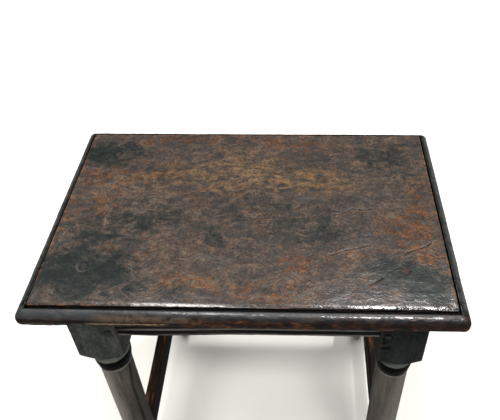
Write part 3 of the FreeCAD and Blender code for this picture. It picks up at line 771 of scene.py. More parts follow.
def along_outline(corners, step):
    """Points along a closed outline of straight and bowed sides. A corner is an x, a y, the
    swell of the side that starts there and how sharp an arris it is, from 0 to 1."""
    points = []
    sharp = []
    for index, (x, y, swell, arris) in enumerate(corners):
        next_x, next_y, _, next_arris = corners[(index + 1) % len(corners)]
        start = np.array([x, y])
        chord = np.array([next_x, next_y]) - start
        length = np.linalg.norm(chord)
        count = max(2, round(length / step))
        normal = np.array([chord[1], -chord[0]]) / length
        for share in np.arange(count) / count:
            points.append(start + chord * share + normal * (swell * 4 * share * (1 - share)))
            near = arris * math.exp(-share * length / ARRIS_REACH)
            far = next_arris * math.exp(-(1 - share) * length / ARRIS_REACH)
            sharp.append(near + far)
    return np.array(points), np.array(sharp)


def soften(points, sharp, radius):
    """Round the arrises of an outline by pulling each point towards its neighbours."""
    for _ in range(int(radius / SOFTEN_STEP)):
        middle = (np.roll(points, 1, 0) + np.roll(points, -1, 0)) / 2
        points = points + (middle - points) * 0.5 * np.minimum(sharp, 1)[:, None]
    return points


def make_bar(name, outline, sharp, reach, put, lot, wear):
    """A rail or stretcher: an outline swept to both sides of the middle, then worn."""
    stations = 2 * round(reach / BAR_STEP) + 1
    count = len(outline)
    local = np.empty((stations * count, 3))
    local[:, 0] = np.repeat(np.linspace(-1, 1, stations) * reach, count)
    local[:, 1:] = np.tile(outline, (stations, 1))
    faces = [(s * count + k, s * count + (k + 1) % count, (s + 1) * count + (k + 1) % count,
              (s + 1) * count + k) for s in range(stations - 1) for k in range(count)]
    faces.append(tuple(range(count)))
    faces.append(tuple(range((stations - 1) * count, stations * count))[::-1])
    bent = local.copy()
    if name == "oak_rail_front":
        climb = RAIL_CLIMB * soft_step(local[:, 0], -0.125, 0.01)
        bent[:, 2] *= 1 - climb / RAIL_HEIGHT
    piece = new_piece(name, put(bent), faces)
    at = local + (0, 0, 3.1 * lot)
    dents = rough_noise(at, (24 * MM, 9 * MM, 9 * MM), 41 + lot)
    bruises = soft_step(soft_noise(at, (11 * MM, 6 * MM, 6 * MM), 45 + lot), 0.3, 0.8)
    rubbed = soft_noise(at, (60 * MM, 30 * MM, 30 * MM), 48 + lot)
    arris = np.tile(sharp, stations)
    depth = wear * (0.22 + 0.2 * dents + arris * (0.5 + 0.35 * rubbed + 0.9 * bruises))
    ends = soft_step(np.abs(local[:, 0]), reach - 4 * MM, reach - 1 * MM)
    sink(piece.data, depth * (1 - 0.8 * ends))
    store(piece.data, "grain", local[:, [1, 2, 0]])
    store(piece.data, "lot", np.full(len(local), BAR_LOT * (lot + 1)))
    return piece


def rail_outline():
    """Section of a rail: across, from its inner to its outer face, and up, from the seat down."""
    outer = HALF_LEG - RAIL_SETBACK
    inner = outer - RAIL_THICKNESS
    sunk = outer - BEAD_SWELL
    foot = -RAIL_HEIGHT
    hollow = foot + BEAD_WIDTH
    upper_bead = hollow + HOLLOW_WIDTH
    plain = upper_bead + BEAD_WIDTH
    return [(inner, foot, 0, 1), (sunk, foot, BEAD_SWELL, 0.6), (sunk, hollow, -HOLLOW_DEPTH, 0.2),
            (sunk, upper_bead, BEAD_SWELL, 0.2), (sunk, plain, 0, 0.1), (outer, plain, 0, 0.3),
            (outer, 0, 0, 0), (inner, 0, 0, 0)]


def stretcher_outline():
    outer = HALF_LEG - STRETCHER_SETBACK
    inner = outer - STRETCHER_THICKNESS
    top = -STRETCHER_DROP
    bottom = top - STRETCHER_HEIGHT
    return [(inner, bottom, 0, 1), (outer, bottom, 0, 1), (outer, top, 0, 1), (inner, top, 0, 1)]


def front_placer(end):
    """Puts the points of a front or back bar in the leaning frame."""
    def put(local):
        placed = np.column_stack([local[:, 0], end * local[:, 1], local[:, 2]])
        turn = Matrix.Rotation(end * RAKE, 3, "X")
        return placed @ np.array(turn).T + np.array(Vector((0, end * LEG_Y, UNDERSIDE)))

    return put


def side_placer(side, reach):
    """Puts the points of a side bar level, with its ends cut to the lean of the legs."""
    def put(local):
        drop = -local[:, 2]
        end = LEG_Y + drop * math.tan(RAKE) - HALF_LEG / math.cos(RAKE) + STUB
        return np.column_stack([side * (LEG_X + local[:, 1]), local[:, 0] / reach * end,
                                UNDERSIDE + local[:, 2]])

    return put


def make_bars(kind, outline, wear, material):
    """The four rails, or the four stretchers."""
    points, sharp = along_outline(outline, BAR_STEP)
    points = soften(points, sharp, BAR_ROUND)
    long_reach = LEG_X - HALF_LEG + STUB
    short_reach = LEG_Y - HALF_LEG / math.cos(RAKE) + STUB
    bars = [(name, long_reach, front_placer(end)) for name, end in ENDS.items()]
    bars += [(name, short_reach, side_placer(side, short_reach)) for name, side in SIDES.items()]
    for lot, (name, reach, put) in enumerate(bars):
        node = f"{kind}_{name}"
        piece = make_bar(f"oak_{node}", points, sharp, reach, put, lot, wear)
        put_in_frame(piece, material, [node])


# Pegs

PEG_RADIUS = 3.9 * MM
PEG_SETBACK = 9 * MM
PEG_PROUD = 0.5 * MM
PEG_SIZES = {"Radius": PEG_RADIUS, "Length": 44 * MM, "Tip Share": 0.8, "Sides": 8.0,
             "Spin": math.tau, "Turn": 0.0}
SEAT_PEG_RADIUS = 4.7 * MM
SEAT_PEG_LENGTH = 38 * MM
# The drops of a tenon's edges, and where pegs cross it from the front or back and from the side
RAIL_PEGS = ((18 * MM, RAIL_HEIGHT - TENON_MARGIN), (0.46, 0.865), (0.145, 0.65))
STRETCHER_PEGS = ((STRETCHER_DROP + TENON_MARGIN, STRETCHER_DROP + STRETCHER_HEIGHT - TENON_MARGIN),
                  (0.32,), (0.68,))
PEG_NUDGE = (0.9 * MM, 0.9 * MM, 0.5 * MM)
SEAT_PEG_DROP = 0.15 * MM
SUNK_PEG_LEG = "front_right"
SUNK_PEG_DEPTH = 3.2 * MM
SQUARE_PEG = "front_right"
SQUARE_PEG_RADIUS = 6.3 * MM
SQUARE_PEG_TURN = math.radians(12)
SEAT_PEG_PLACES = {
    "front_left": (-LEG_X + 5 * MM, -LEG_Y - 3.5 * MM),
    "front_right": (LEG_X - 7 * MM, -LEG_Y - 3.5 * MM),
    "back_left": (-LEG_X + 0.5 * MM, LEG_Y + 12.5 * MM),
    "back_right": (LEG_X - 9.5 * MM, LEG_Y + 12.5 * MM),
}


def peg_tree():
    """Geometry nodes of a set of pegs: a shaved, tapered peg with a rounded head at each point
    of the base mesh, along that point's way attribute."""
    graph = new_tree("shaved_pegs", Geometry=["Places"], Float=PEG_SIZES, Material=["Oak"])
    given = graph.node("NodeGroupInput", output="Places")
    radius = given.also("Radius")
    blank = graph.node("GeometryNodeMeshCylinder", {"fill_type": "TRIANGLE_FAN"},
                       {"Vertices": 40, "Side Segments": 30, "Fill Segments": 5, "Radius": 1.0,
                        "Depth": 1.0})
    x, y, z = graph.split(graph.node("GeometryNodeInputPosition"))
    angle = graph.maths("ARCTAN2", y, x)
    out = graph.join(x, y, 0.0).length()
    side = math.tau / given.also("Sides")
    flat = graph.maths("COSINE", graph.maths("MODULO", angle + math.tau, side) - side / 2)
    side_radius = graph.maths("COSINE", side / 2) / flat
    deep = 0.5 - z
    taper = 1 - (1 - given.also("Tip Share")) * deep
    head = deep.step(0.045, 0.0)
    dome = out * out * head * 0.04 * radius
    reach = out * radius * side_radius * taper * (1 - 0.1 * head)
    local = graph.join(reach * graph.maths("COSINE", angle), reach * graph.maths("SINE", angle),
                       -deep * given.also("Length") - dome)
    shaped = shape_node(graph, "SetPosition", blank, Position=local)
    way = graph.node("GeometryNodeInputNamedAttribute", {"data_type": "FLOAT_VECTOR"},
                     {"Name": "way"})
    aimed = graph.node("FunctionNodeAlignRotationToVector", {"axis": "Z"}, {"Vector": way})
    spin = graph.node("FunctionNodeRandomValue", {"data_type": "FLOAT"},
                      {"Min": 0.0, "Max": 1.0, "Seed": 7}, "Value")
    spin = spin * given.also("Spin") + given.also("Turn")
    twist = graph.node("FunctionNodeEulerToRotation", None, {"Euler": graph.join(0.0, 0.0, spin)})
    turned = graph.node("FunctionNodeRotateRotation", {"rotation_space": "LOCAL"},
                        {"Rotation": aimed, "Rotate By": twist})
    spots = graph.node("GeometryNodeMeshToPoints", None, {"Mesh": given})
    copies = graph.node("GeometryNodeInstanceOnPoints", None,
                        {"Points": spots, "Instance": shaped, "Rotation": turned})
    whole = shape_node(graph, "RealizeInstances", copies)
    nudge = graph.jitter(graph.node("GeometryNodeInputPosition"), 260, 2, 0.5, PEG_NUDGE)
    worn = shape_node(graph, "SetPosition", whole, Offset=nudge)
    dressed = shape_node(graph, "SetMaterial", worn, Material=given.also("Oak"))
    graph.node("NodeGroupOutput", None, {"Geometry": dressed})
    return graph.tree


def leg_peg_places(side, end, tenon, frame_shares, side_shares):
    """Where the heads of one leg's pegs are, and which way each peg points out."""
    turn = Matrix.Rotation(end * RAKE, 3, "X")
    middle = Vector((side * LEG_X, end * LEG_Y, UNDERSIDE))
    inner = HALF_LEG - PEG_SETBACK
    head = HALF_LEG + PEG_PROUD
    rows = ((frame_shares, (-side * inner, end * head), turn @ Vector((0, end, 0))),
            (side_shares, (side * head, -end * inner), Vector((side, 0, 0))))
    return [(turn @ Vector((*spot, -(tenon[0] + share * (tenon[1] - tenon[0])))) + middle, way)
            for shares, spot, way in rows for share in shares]


def make_pegs(tree, name, places, material, **sizes):
    base = bpy.data.meshes.new(name)
    base.from_pydata([tuple(spot) for spot, _ in places], [], [])
    store(base, "way", [tuple(way) for _, way in places])
    return grow(name, tree, {**PEG_SIZES, **sizes, "Oak": material}, base)


def join_meshes(piece, other):
    """Add the mesh of another object to a piece, and take the other object away."""
    made = bmesh.new()
    made.from_mesh(piece.data)
    made.from_mesh(other.data)
    made.to_mesh(piece.data)
    made.free()
    bpy.data.objects.remove(other)


# Stains on the seat, each an X, a Y, a half length, a half width and a strength
BLACK_PLACES = [
    (-0.185, 0.090, 0.050, 0.026, 0.90), (-0.120, -0.018, 0.062, 0.030, 0.75),
    (-0.160, -0.040, 0.040, 0.030, 0.60), (-0.172, -0.090, 0.070, 0.042, 1.00),
    (-0.130, -0.110, 0.050, 0.020, 0.70), (-0.060, -0.112, 0.030, 0.020, 0.60),
    (-0.040, -0.035, 0.035, 0.018, 0.50), (0.160, 0.090, 0.065, 0.036, 0.55),
    (0.185, 0.050, 0.026, 0.030, 0.45), (0.020, -0.104, 0.060, 0.020, 0.36),
    (0.186, -0.096, 0.052, 0.037, 1.00), (0.070, -0.030, 0.070, 0.022, 0.50),
    (0.000, -0.005, 0.060, 0.020, 0.40), (0.000, 0.030, 0.050, 0.024, 0.35),
    (-0.130, 0.012, 0.050, 0.016, 0.40),
]
WARM_PLACES = [
    (-0.172, 0.050, 0.050, 0.024, 0.75), (-0.118, 0.060, 0.045, 0.018, 0.65),
    (-0.180, 0.004, 0.034, 0.034, 0.65), (-0.120, -0.065, 0.040, 0.016, 0.60),
    (0.185, -0.028, 0.050, 0.030, 1.00), (0.196, 0.010, 0.026, 0.050, 0.85),
    (0.205, -0.060, 0.030, 0.034, 0.95), (0.062, -0.074, 0.034, 0.020, 0.80),
    (0.110, -0.070, 0.050, 0.018, 0.55), (-0.060, -0.100, 0.050, 0.018, 0.80),
    (0.015, -0.105, 0.060, 0.022, 0.75), (0.060, -0.115, 0.050, 0.012, 0.70),
    (-0.100, 0.115, 0.100, 0.014, 0.75), (0.020, 0.118, 0.110, 0.012, 0.65),
    (-0.208, -0.020, 0.014, 0.090, 0.60),
]
TAN_PLACES = [
    (-0.114, 0.056, 0.040, 0.018, 0.80), (0.068, 0.050, 0.065, 0.030, 0.80),
    (0.000, 0.062, 0.070, 0.034, 0.60), (-0.060, 0.045, 0.050, 0.030, 0.50),
    (-0.045, -0.100, 0.040, 0.014, 0.40),
]


# Finishes

def seat_finish():
    graph = Finish("waxed_seat_oak")
    place = graph.node("ShaderNodeTexCoord", output="Object")
    x, y, z = graph.split(place)
    outside = (abs(x) - FIELD_HALF_X).most(abs(y) - FIELD_HALF_Y)
    field = outside.step(0.3 * MM, -0.4 * MM)
    height = z - UNDERSIDE
    # Figure of the wood, from broad clouds down to specks
    wandering = place.plus(graph.jitter(place, 11, 4, 0.6, (0.10, 0.06, 0.0), (0.6, 1, 1)))
    wavy = place.plus(graph.jitter(place, 34, 2, 0.5, (0.0, 0.022, 0.0)))
    cloud = graph.noise(place, 17, 5, 0.6, 0.5)
    patch = graph.noise(place, 58, 5, 0.75, 0.6, (0.9, 1, 1))
    streak = graph.noise(wavy, 170, 5, 0.75, 0.2, (0.42, 1, 0.4))
    fleck = graph.noise(wavy, 430, 4, 0.8, 0.2, (0.75, 1, 1))
    speck = graph.noise(place, 900, 2, 0.7, 0, (0.8, 1, 1))
    ember = graph.noise(wavy, 260, 4, 0.7, 0.3, (0.45, 1, 1))
    uneven = patch - 0.5

    def blots(spots):
        """Soft patches on the seat: X, Y, half length, half width and strength of each."""
        return highest(
            wandering.minus((at_x, at_y, 0)).times((1 / half_x, 1 / half_y, 0)).length().step(
                1.35, 0.15) * strength
            for at_x, at_y, half_x, half_y, strength in spots)

    mottle = 0.10 * cloud + 0.16 * patch + 0.24 * streak + 0.30 * fleck + 0.20 * speck

    def wood(dark, middle, light):
        """One kind of wood, lighter and darker with the figure."""
        return graph.ramp(mottle, (0.415, dark), (0.50, middle), (0.585, light))

    cool = (0.5 * patch + 0.3 * cloud + 0.2 * streak).step(0.52, 0.43)
    tan = blots(TAN_PLACES) * (0.6 * streak + 0.4 * patch).step(0.42, 0.56)
    warm_stain = blots(WARM_PLACES)
    warm = (0.50 * ember + 0.25 * fleck + 0.25 * patch + 0.07 * warm_stain).step(0.525, 0.60)
    black = (blots(BLACK_PLACES) + 1.5 * (0.5 - patch) + 1.0 * (0.5 - cloud)
             + 0.9 * (0.5 - streak)).step(0.12, 0.95)
    pore = (0.7 * fleck + 0.3 * speck).step(0.56, 0.64)
    colour = graph.paint(
        wood((32, 27, 24), (54, 46, 41), (91, 79, 68)),
        (cool * 0.65, wood((36, 36, 36), (54, 51, 50), (80, 76, 72))),
        (tan * 0.85, wood((56, 41, 26), (92, 70, 45), (128, 102, 70))),
        (warm * (0.42 + 0.42 * warm_stain), wood((36, 19, 9), (68, 38, 16), (116, 69, 30))),
        (black * 0.92, wood((14, 19, 18), (23, 29, 27), (40, 46, 43))),
        (pore * 0.35, (22, 19, 19)))
    # Open checks, with a lighter lip on the side nearer the front
    jitter = graph.jitter(place, 520, 2, 0.5, (3.4 * MM, 3.4 * MM, 0.0))
    shaken = place.plus(jitter).times((1, 1, 0))
    lower = shaken.plus((0.0, 1.7 * MM, 0.0))
    marks = [(graph.line_distance(shaken, line), width, dent)
             for line, width, dent in SEAT_MARKS.values()]
    deepest = highest(near.step(1.15 * width, 0.3 * width) * min(1, dent / MM)
                      for near, width, dent in marks)
    around_marks = highest(near.step(3.0 * width, 1.2 * width) for near, width, _ in marks)
    lip = highest(graph.line_distance(lower, line).step(width, 0.2 * width)
                  for line, width, dent in SEAT_MARKS.values() if dent > 0.9 * MM)
    gappy = graph.noise(place, 210, 2, 0.5).step(0.40, 0.52)
    colour = graph.paint(
        colour, (lip * gappy * field * 0.35, (110, 74, 48)),
        (deepest * (0.35 + 0.65 * gappy) * field * 0.85, (15, 9, 6)))
    # A dark joint round each peg, with a paler lip round the front left one
    for name, spot in SEAT_PEG_PLACES.items():
        away = shaken.minus((*spot, 0)).times((1, 1, 0))
        past = away.length() - SEAT_PEG_RADIUS
        around = past.band(0.5 * MM, 1.0 * MM, 0.3 * MM)
        if name == SQUARE_PEG:
            around = past.band(1 * MM, 1.8 * MM, 0.8 * MM)
        colour = graph.mix(around * 0.6, colour, (14, 12, 12))
        if name == "front_left":
            off_x, off_y, _ = graph.split(away)
            edge_of = past.band(1.6 * MM, 1.6 * MM, 0.2 * MM) * (off_x + off_y).step(1 * MM, -4 * MM)
            colour = graph.mix(edge_of * patch.step(0.40, 0.54) * 0.28, colour, (96, 92, 88))
    def from_front(low, high):
        """A soft step along Y, in millimetres behind the field's front edge."""
        return y.step(-FIELD_HALF_Y + low * MM, -FIELD_HALF_Y + high * MM)

    def past_quirk(low, high):
        return outside.step(QUIRK_WIDTH + low * MM, QUIRK_WIDTH + high * MM)

    def below_top(low, high):
        return height.step(SEAT_THICKNESS - low * MM, SEAT_THICKNESS - high * MM)

    # The arris of the field is worn to brown wood, but for most of the front
    rim = (outside + 2.4 * MM * uneven).step(-2.0 * MM, -0.7 * MM) * field
    rim_wear = (0.5 * streak + 0.5 * fleck).step(0.47, 0.54)
    bare = 1 - from_front(6, 4) * (1 - x.step(-0.120, -0.150))
    colour = graph.mix(rim * rim_wear * bare * 0.85, colour, (118, 74, 40))
    # Moulded edge: cool and dark, with a blotched, russet lower half along the front
    front = from_front(1, -1)
    russet = graph.ramp(
        0.3 * patch + 0.4 * graph.noise(place, 110, 5, 0.7, 0.4, (0.35, 0.35, 1))
        + 0.3 * graph.noise(place, 330, 4, 0.75, 0, (0.5, 0.5, 1)),
        (0.44, (10, 6, 4)), (0.49, (42, 21, 12)), (0.54, (82, 41, 20)), (0.60, (150, 88, 44)))
    low = (height + 6 * MM * uneven).step(19.5 * MM, 17.0 * MM)
    to_right = x.step(-0.130, -0.020)
    brown = x.step(-0.060, 0.160) * streak.step(0.46, 0.56) * front
    dark_run = (height + 4 * MM * uneven).band(15.5 * MM, 4.5 * MM, 1.5 * MM) * front
    pale_run = (x.step(-0.160, -0.148) * x.step(-0.068, -0.084)
                * abs(height - 12.5 * MM + 6 * MM * uneven).step(1.8 * MM, 0.7 * MM) * front)
    at_left = x.step(-0.130, -0.155)
    upper = height.step(16 * MM, 19 * MM) * front
    middle_left = x.step(-0.020, -0.060) * (1 - at_left)
    painted_sheen_run = height.band(18.0 * MM, 4.5 * MM, 1.5 * MM) * front
    left_run = abs(height - 9.5 * MM + 5 * MM * uneven).step(3.2 * MM, 1.2 * MM)
    painted_side_reflection = ((abs(x) - FIELD_HALF_X).step(QUIRK_WIDTH + 2 * MM, QUIRK_WIDTH + 7 * MM)
              * from_front(-2, 8))
    edge_colour = graph.paint(
        graph.ramp(0.4 * streak + 0.4 * patch + 0.2 * fleck,
                   (0.42, (8, 10, 12)), (0.50, (18, 21, 23)), (0.58, (40, 39, 37))),
        (brown * 0.6, (58, 40, 30)),
        (low * (0.25 + 0.75 * front) * (0.30 + 0.70 * to_right), russet),
        (dark_run * 0.55, (20, 12, 8)),
        (pale_run * fleck.step(0.42, 0.50), (150, 126, 94)),
        # Painted highlight: a bluish-grey sheen on the top of the nosing at the left end
        (at_left * upper * (0.1 + 0.3 * streak), (84, 86, 86)),
        # Painted sheen: a pale brown band below the nosing's highlight, left of the middle
        (middle_left * painted_sheen_run * streak.step(0.36, 0.56) * 0.6, (100, 80, 62)),
        (at_left * left_run * front * streak.step(0.40, 0.52) * 0.65, (96, 90, 78)),
        # Painted reflection: a pale band along the side nosings, where the pale room would shine at
        # grazing angles
        (painted_side_reflection * streak.step(0.34, 0.50) * 0.7,
         graph.mix(streak, (38, 39, 37), (106, 108, 103))))
    # The quirk, its wall and the underside
    quirk = outside.step(-0.3 * MM, 0.3 * MM) * past_quirk(1.3, 0.3)
    hollow = quirk * below_top(0.9, 1.5).most(outside.step(0.2 * MM, 0.5 * MM))
    underneath = height.step(1.2 * MM, 0.2 * MM)
    front_side = from_front(2, 1)
    worn_back = 1.3 * MM * x.step(0.0, 0.120) + 1.6 * MM * uneven
    wall = ((outside + worn_back).step(-2.1 * MM, -1.4 * MM) * field * front_side
            * below_top(1.2, 1.8))
    lip_side = (1 - field) * front_side * past_quirk(2.4, 1.4)
    # The quirk, the field's front wall and the nosing's lip beside the quirk are painted near black:
    # painted shade of the deep groove
    colour = graph.paint(
        colour, (1 - field, edge_colour), (hollow, (3, 3, 3)),
        (underneath, graph.mix(streak, (30, 25, 22), (74, 60, 48))),
        (wall * 0.95, (14, 8, 5)), (lip_side * 0.5, (5, 5, 5)))
    # Wax
    wax = graph.noise(place, 70, 4, 0.6, 0, (0.7, 1, 1))
    front_arris = abs(y + FIELD_HALF_Y - 1.0 * MM).step(4.0 * MM, 1.0 * MM)
    roughness = (0.15 + 0.20 * wax + 0.10 * fleck - 0.13 * front_arris + 0.5 * wall
                 + 0.15 * around_marks + 0.5 * deepest + 0.3 * underneath + 0.08 * low * (1 - field)
                 + 0.45 * lip_side + 0.10 * (1 - field) * front_side)
    # Relief
    wrinkle = graph.noise(wavy, 150, 3, 0.5, 0.1, (0.45, 1, 1))
    pits = graph.noise(wavy, 420, 2, 0.5, 0, (0.7, 1, 1))
    relief = 0.11 * wrinkle + 0.09 * pits - 0.07 * deepest
    calm = 1.3 - 0.3 * field - 0.4 * field * black - 0.3 * front_arris
    shoulder = front * height.step(15 * MM, 18 * MM) * past_quirk(2, 3.5)
    # Black metal keeps the painted shade of the quirk and its wall black, since it mirrors nothing
    quirk_shade = 0.95 * hollow.most(wall)
    polish = (1 - quirk_shade) * (0.9 * front_arris * field * fleck.step(0.44, 0.54)
                           + 0.7 * shoulder * (0.4 * streak + 0.6 * fleck).step(0.45, 0.54))
    return graph.shade({
        "Base Color": colour, "Roughness": roughness, "Coat Weight": polish, "Metallic": quirk_shade,
        "Normal": graph.bump(relief * calm, 1.0, 2.7 * MM),
        "IOR": 1.5, "Specular IOR Level": 0.45, "Coat Roughness": 0.08})


FRAME_IOR = 1.48
PORE_TINT = (10, 9, 8)


class FrameFinish(Finish):
    """Figure and relief shared by all the pieces of the frame, along each piece's grain."""

    def __init__(self, name):
        super().__init__(name)
        self.grain = self.attribute("grain", "Vector")
        self.lot = self.attribute("lot")
        self.place = self.grain.plus(self.join(self.lot, self.lot * 0.37, 0.0))
        self.streak = self.noise(self.place, 150, 5, 0.65, 0.1, (1, 1, 0.07))
        self.blotch = self.noise(self.place, 60, 4, 0.65, 0.3, (1, 1, 0.45))
        self.cloud = self.noise(self.place, 17, 3, 0.6, 0, (1, 1, 0.6))
        self.fine = self.noise(self.place, 620, 3, 0.6, 0, (1, 1, 0.07))

    def pores(self):
        return self.fine.step(0.58, 0.72) * 0.6, PORE_TINT

    def wear(self, low, high):
        """1 on worn arrises."""
        return self.node("ShaderNodeNewGeometry", output="Pointiness").step(low, high)

    def end(self, colour, roughness, shine):
        relief = 0.45 * self.streak + 0.30 * self.blotch - 0.25 * self.fine.step(0.56, 0.7)
        return self.shade({"Base Color": colour, "Roughness": roughness, "IOR": FRAME_IOR,
                           "Normal": self.bump(relief, 0.7, 0.7 * MM),
                           "Specular IOR Level": shine})


def leg_finish():
    graph = FrameFinish("leg_oak")
    streak, blotch, cloud = graph.streak, graph.blotch, graph.cloud
    x, y, z = graph.split(graph.grain)
    down = -z
    # The leg at the front right is darker than the others, with cuts near its inner arris
    dark_leg = graph.lot.band(2 * LEG_LOT, 0.5 * LEG_LOT, 0.2 * LEG_LOT)
    grit = graph.noise(graph.place, 330, 4, 0.75, 0, (1, 1, 0.6))
    cuts = graph.noise(graph.place, 260, 2, 0.5, 0, (0.22, 1, 1)).step(0.54, 0.60)
    near_arris = (-x).step(HALF_LEG - 18 * MM, HALF_LEG - 10 * MM)
    block = graph.paint(
        graph.ramp(0.15 * streak + 0.30 * blotch + 0.15 * cloud + 0.40 * grit,
                   (0.38, (33, 36, 35)), (0.50, (65, 69, 67)), (0.62, (94, 97, 93))),
        (dark_leg * 0.75, (20, 25, 25)), (cuts * near_arris * dark_leg * 0.85, (4, 4, 4)))
    # The column, with a painted reflection of the pale room down one side, and on the other three
    # legs a dark line down it with painted shade on the column beyond that line
    turned = LEG_SIZES["Column Radius"]
    side = x * (2 * dark_leg - 1)
    side_reflection = side.step(-0.35 * turned, 0.95 * turned) * streak.step(0.32, 0.46)
    angle = graph.maths("ARCTAN2", x, -y)
    line_angle = 1.24 - 0.28 * down.step(0.150, 0.215)
    from_line = turned * (angle - line_angle) + 2 * MM * (blotch - 0.5)
    far_side_shade = from_line.step(0.0, 0.08 * turned) * angle.step(2.9, 2.2)
    shade = abs(from_line).step(0.16 * turned, 0.05 * turned)
    column = graph.paint(
        graph.ramp(0.45 * streak + 0.2 * blotch + 0.15 * cloud + 0.2 * grit,
                   (0.38, (24, 24, 22)), (0.46, (56, 53, 48)), (0.54, (86, 81, 74)),
                   (0.64, (122, 113, 104))),
        (0.25 + 0.15 * dark_leg, (112, 105, 99)),
        # Painted reflection of the pale room down one side of the column
        (side_reflection * (0.9 - 0.5 * dark_leg), (176, 168, 162)),
        # Painted shade on the column beyond the dark line
        (far_side_shade * 0.6 * (1 - dark_leg), (58, 62, 56)),
        (shade * 0.75 * (1 - dark_leg), (18, 20, 18)))
    # The mouldings, counted from the nearer block
    past_upper = down - LEG_SIZES["Upper Block"]
    past_lower = LEG_SIZES["Lower Block Top"] - down
    ring_start = LEG_SIZES["Shoulder Length"] + LEG_SIZES["Neck Length"]
    ring_end = ring_start + LEG_SIZES["Ring Length"]
    fillet_end = ring_end + LEG_SIZES["Fillet Length"]
    foot_start = LEG_SIZES["Lower Block Bottom"]

    def between(start, full, fading, end):
        """1 from full to fading along either end of the column, and 0 past start and end."""
        return highest(past.step(start, full) * past.step(end, fading)
                       for past in (past_upper, past_lower))

    on_column = past_upper.least(past_lower).step(ring_end, ring_end + 1.5 * MM)
    on_ring = between(ring_start + 2.5 * MM, ring_start + 4 * MM, ring_end - 1 * MM,
                      ring_end + 0.2 * MM)
    on_neck = between(0.7 * ring_start, ring_start - 2 * MM, ring_start + 2 * MM,
                      ring_start + 3 * MM)
    on_fillet = between(ring_end, ring_end + 0.8 * MM, fillet_end - 0.4 * MM,
                        fillet_end + 0.4 * MM)
    colour = graph.paint(
        block, (on_column, column), (on_neck * 0.6, (116, 120, 112)),
        (on_fillet * 0.45, (132, 128, 118)), (on_ring, (3, 3, 3)),
        (down.step(foot_start, foot_start + 20 * MM) * 0.5, column), graph.pores(),
        (graph.wear(0.52, 0.60) * (1 - on_ring) * 0.6, (104, 88, 68)),
        # Dark joints round the pegs, and painted shade over the dimple of the sunk peg
        (graph.attribute("joint_and_hole_shade") * 0.9, (6, 6, 6)))
    return graph.end(colour, 0.38 + 0.22 * blotch - 0.20 * on_ring, 0.10)


BEAD_CRESTS = (-RAIL_HEIGHT + 0.6 * BEAD_WIDTH,
               -RAIL_HEIGHT + 1.6 * BEAD_WIDTH + HOLLOW_WIDTH)


def bar_finish(name, dark, middle, light, top_warmth, crests=()):
    """Finish of the rails, or of the stretchers, whose tops are worn to brown wood. Crests are
    the heights of the mouldings along the outer face, each with a painted highlight along it."""
    graph = FrameFinish(name)
    streak, blotch = graph.streak, graph.blotch
    across, height, _ = graph.split(graph.grain)
    outer = across.step(HALF_LEG - RAIL_SETBACK - 2 * MM, HALF_LEG - RAIL_SETBACK)
    crest_highlights = [abs(height - crest + 1.6 * MM * (blotch - 0.5)).step(2.2 * MM, 0.7 * MM)
             for crest in crests]
    up = graph.split(graph.node("ShaderNodeNewGeometry", output="Normal"))[2]
    warm = graph.ramp(0.25 * streak + 0.75 * blotch,
                      (0.40, (8, 6, 5)), (0.52, (27, 18, 11)), (0.62, (104, 60, 28)))
    rub = graph.wear(0.515, 0.58) * blotch.step(0.44, 0.56)
    colour = graph.paint(
        graph.ramp(0.5 * streak + 0.25 * blotch + 0.25 * graph.cloud,
                   (0.34, dark), (0.50, middle), (0.66, light)),
        # Painted highlights along the crests of the mouldings
        *((line * outer * streak.step(0.36, 0.54) * 0.9, (134, 132, 126)) for line in crest_highlights),
        (up.step(0.5, 0.9) * top_warmth, warm), (rub * 0.6, (112, 80, 52)), graph.pores())
    return graph.end(colour, 0.40 + 0.24 * blotch, 0.15)


def peg_finish(name, dark, light, red=0):
    """End grain of a riven peg: rings and rays across its head. Red is how much redder the
    square peg is than the others."""
    graph = Finish(name)
    place = graph.node("ShaderNodeTexCoord", output="Object")
    speckle = graph.noise(place, 700, 3, 0.7)
    band = graph.noise(place, 260, 3, 0.6, 0, (1, 0.35, 1))
    colour = graph.ramp(0.55 * speckle + 0.45 * band, (0.38, dark), (0.62, light))
    if red:
        away = place.minus((*SEAT_PEG_PLACES[SQUARE_PEG], SEAT_TOP))
        colour = graph.mix(away.length().step(9 * MM, 8 * MM) * red, colour,
                           graph.mix(speckle, (34, 17, 13), (72, 42, 34)))
    return graph.shade({"Base Color": colour, "Roughness": 0.42 + 0.2 * speckle,
                        "Normal": graph.bump(speckle, 0.6, 0.5 * MM), "IOR": FRAME_IOR,
                        "Specular IOR Level": 0.25})


# Studio

FLOOR_HALF = 9.0
WORLD_STRENGTH = 0.12
# Each lamp has a name, a place, the point that it faces, its width and depth, its power and
# whether the wax mirrors it
LAMPS = [
    ("softbox_front", (0.35, -0.63, 1.75), (0.14, -0.14, 0.54), (0.36, 0.21), 9.6, True),
    ("softbox_left", (-0.30, -0.19, 1.84), (-0.06, -0.14, 0.54), (0.90, 0.22), 11.5, True),
    ("lamp_overhead", (0.434, 0.268, 2.25), (0.0, 0.0, 0.5), (0.06, 0.06), 19, True),
    ("floor_light_left", (-1.35, 0.9, 1.9), (-1.0, 0.9, 0.0), (1.2, 1.2), 36, False),
    ("floor_light_right", (1.5, 1.3, 1.9), (1.1, 1.4, 0.0), (1.2, 1.2), 32, False),
    ("floor_light_back", (0.0, 1.5, 0.8), (0.0, 0.1, 0.0), (1.2, 0.4), 9, False),
    ("fill_front", (-0.3, -2.0, 1.2), (0.0, 0.0, 0.35), (1.5, 0.9), 6, False),
]
CAMERA_PLACE = (58.1 * MM, -397.2 * MM, 1025.5 * MM)
CAMERA_YAW = math.radians(-2.33)
CAMERA_PITCH = math.radians(44.26)
CAMERA_ROLL = math.radians(-1.28)
CAMERA_LENS = 38.06
SENSOR_WIDTH = 36.0
CAMERA_SHIFT = (-0.0679, -0.1103)
CLIP_START = 0.05


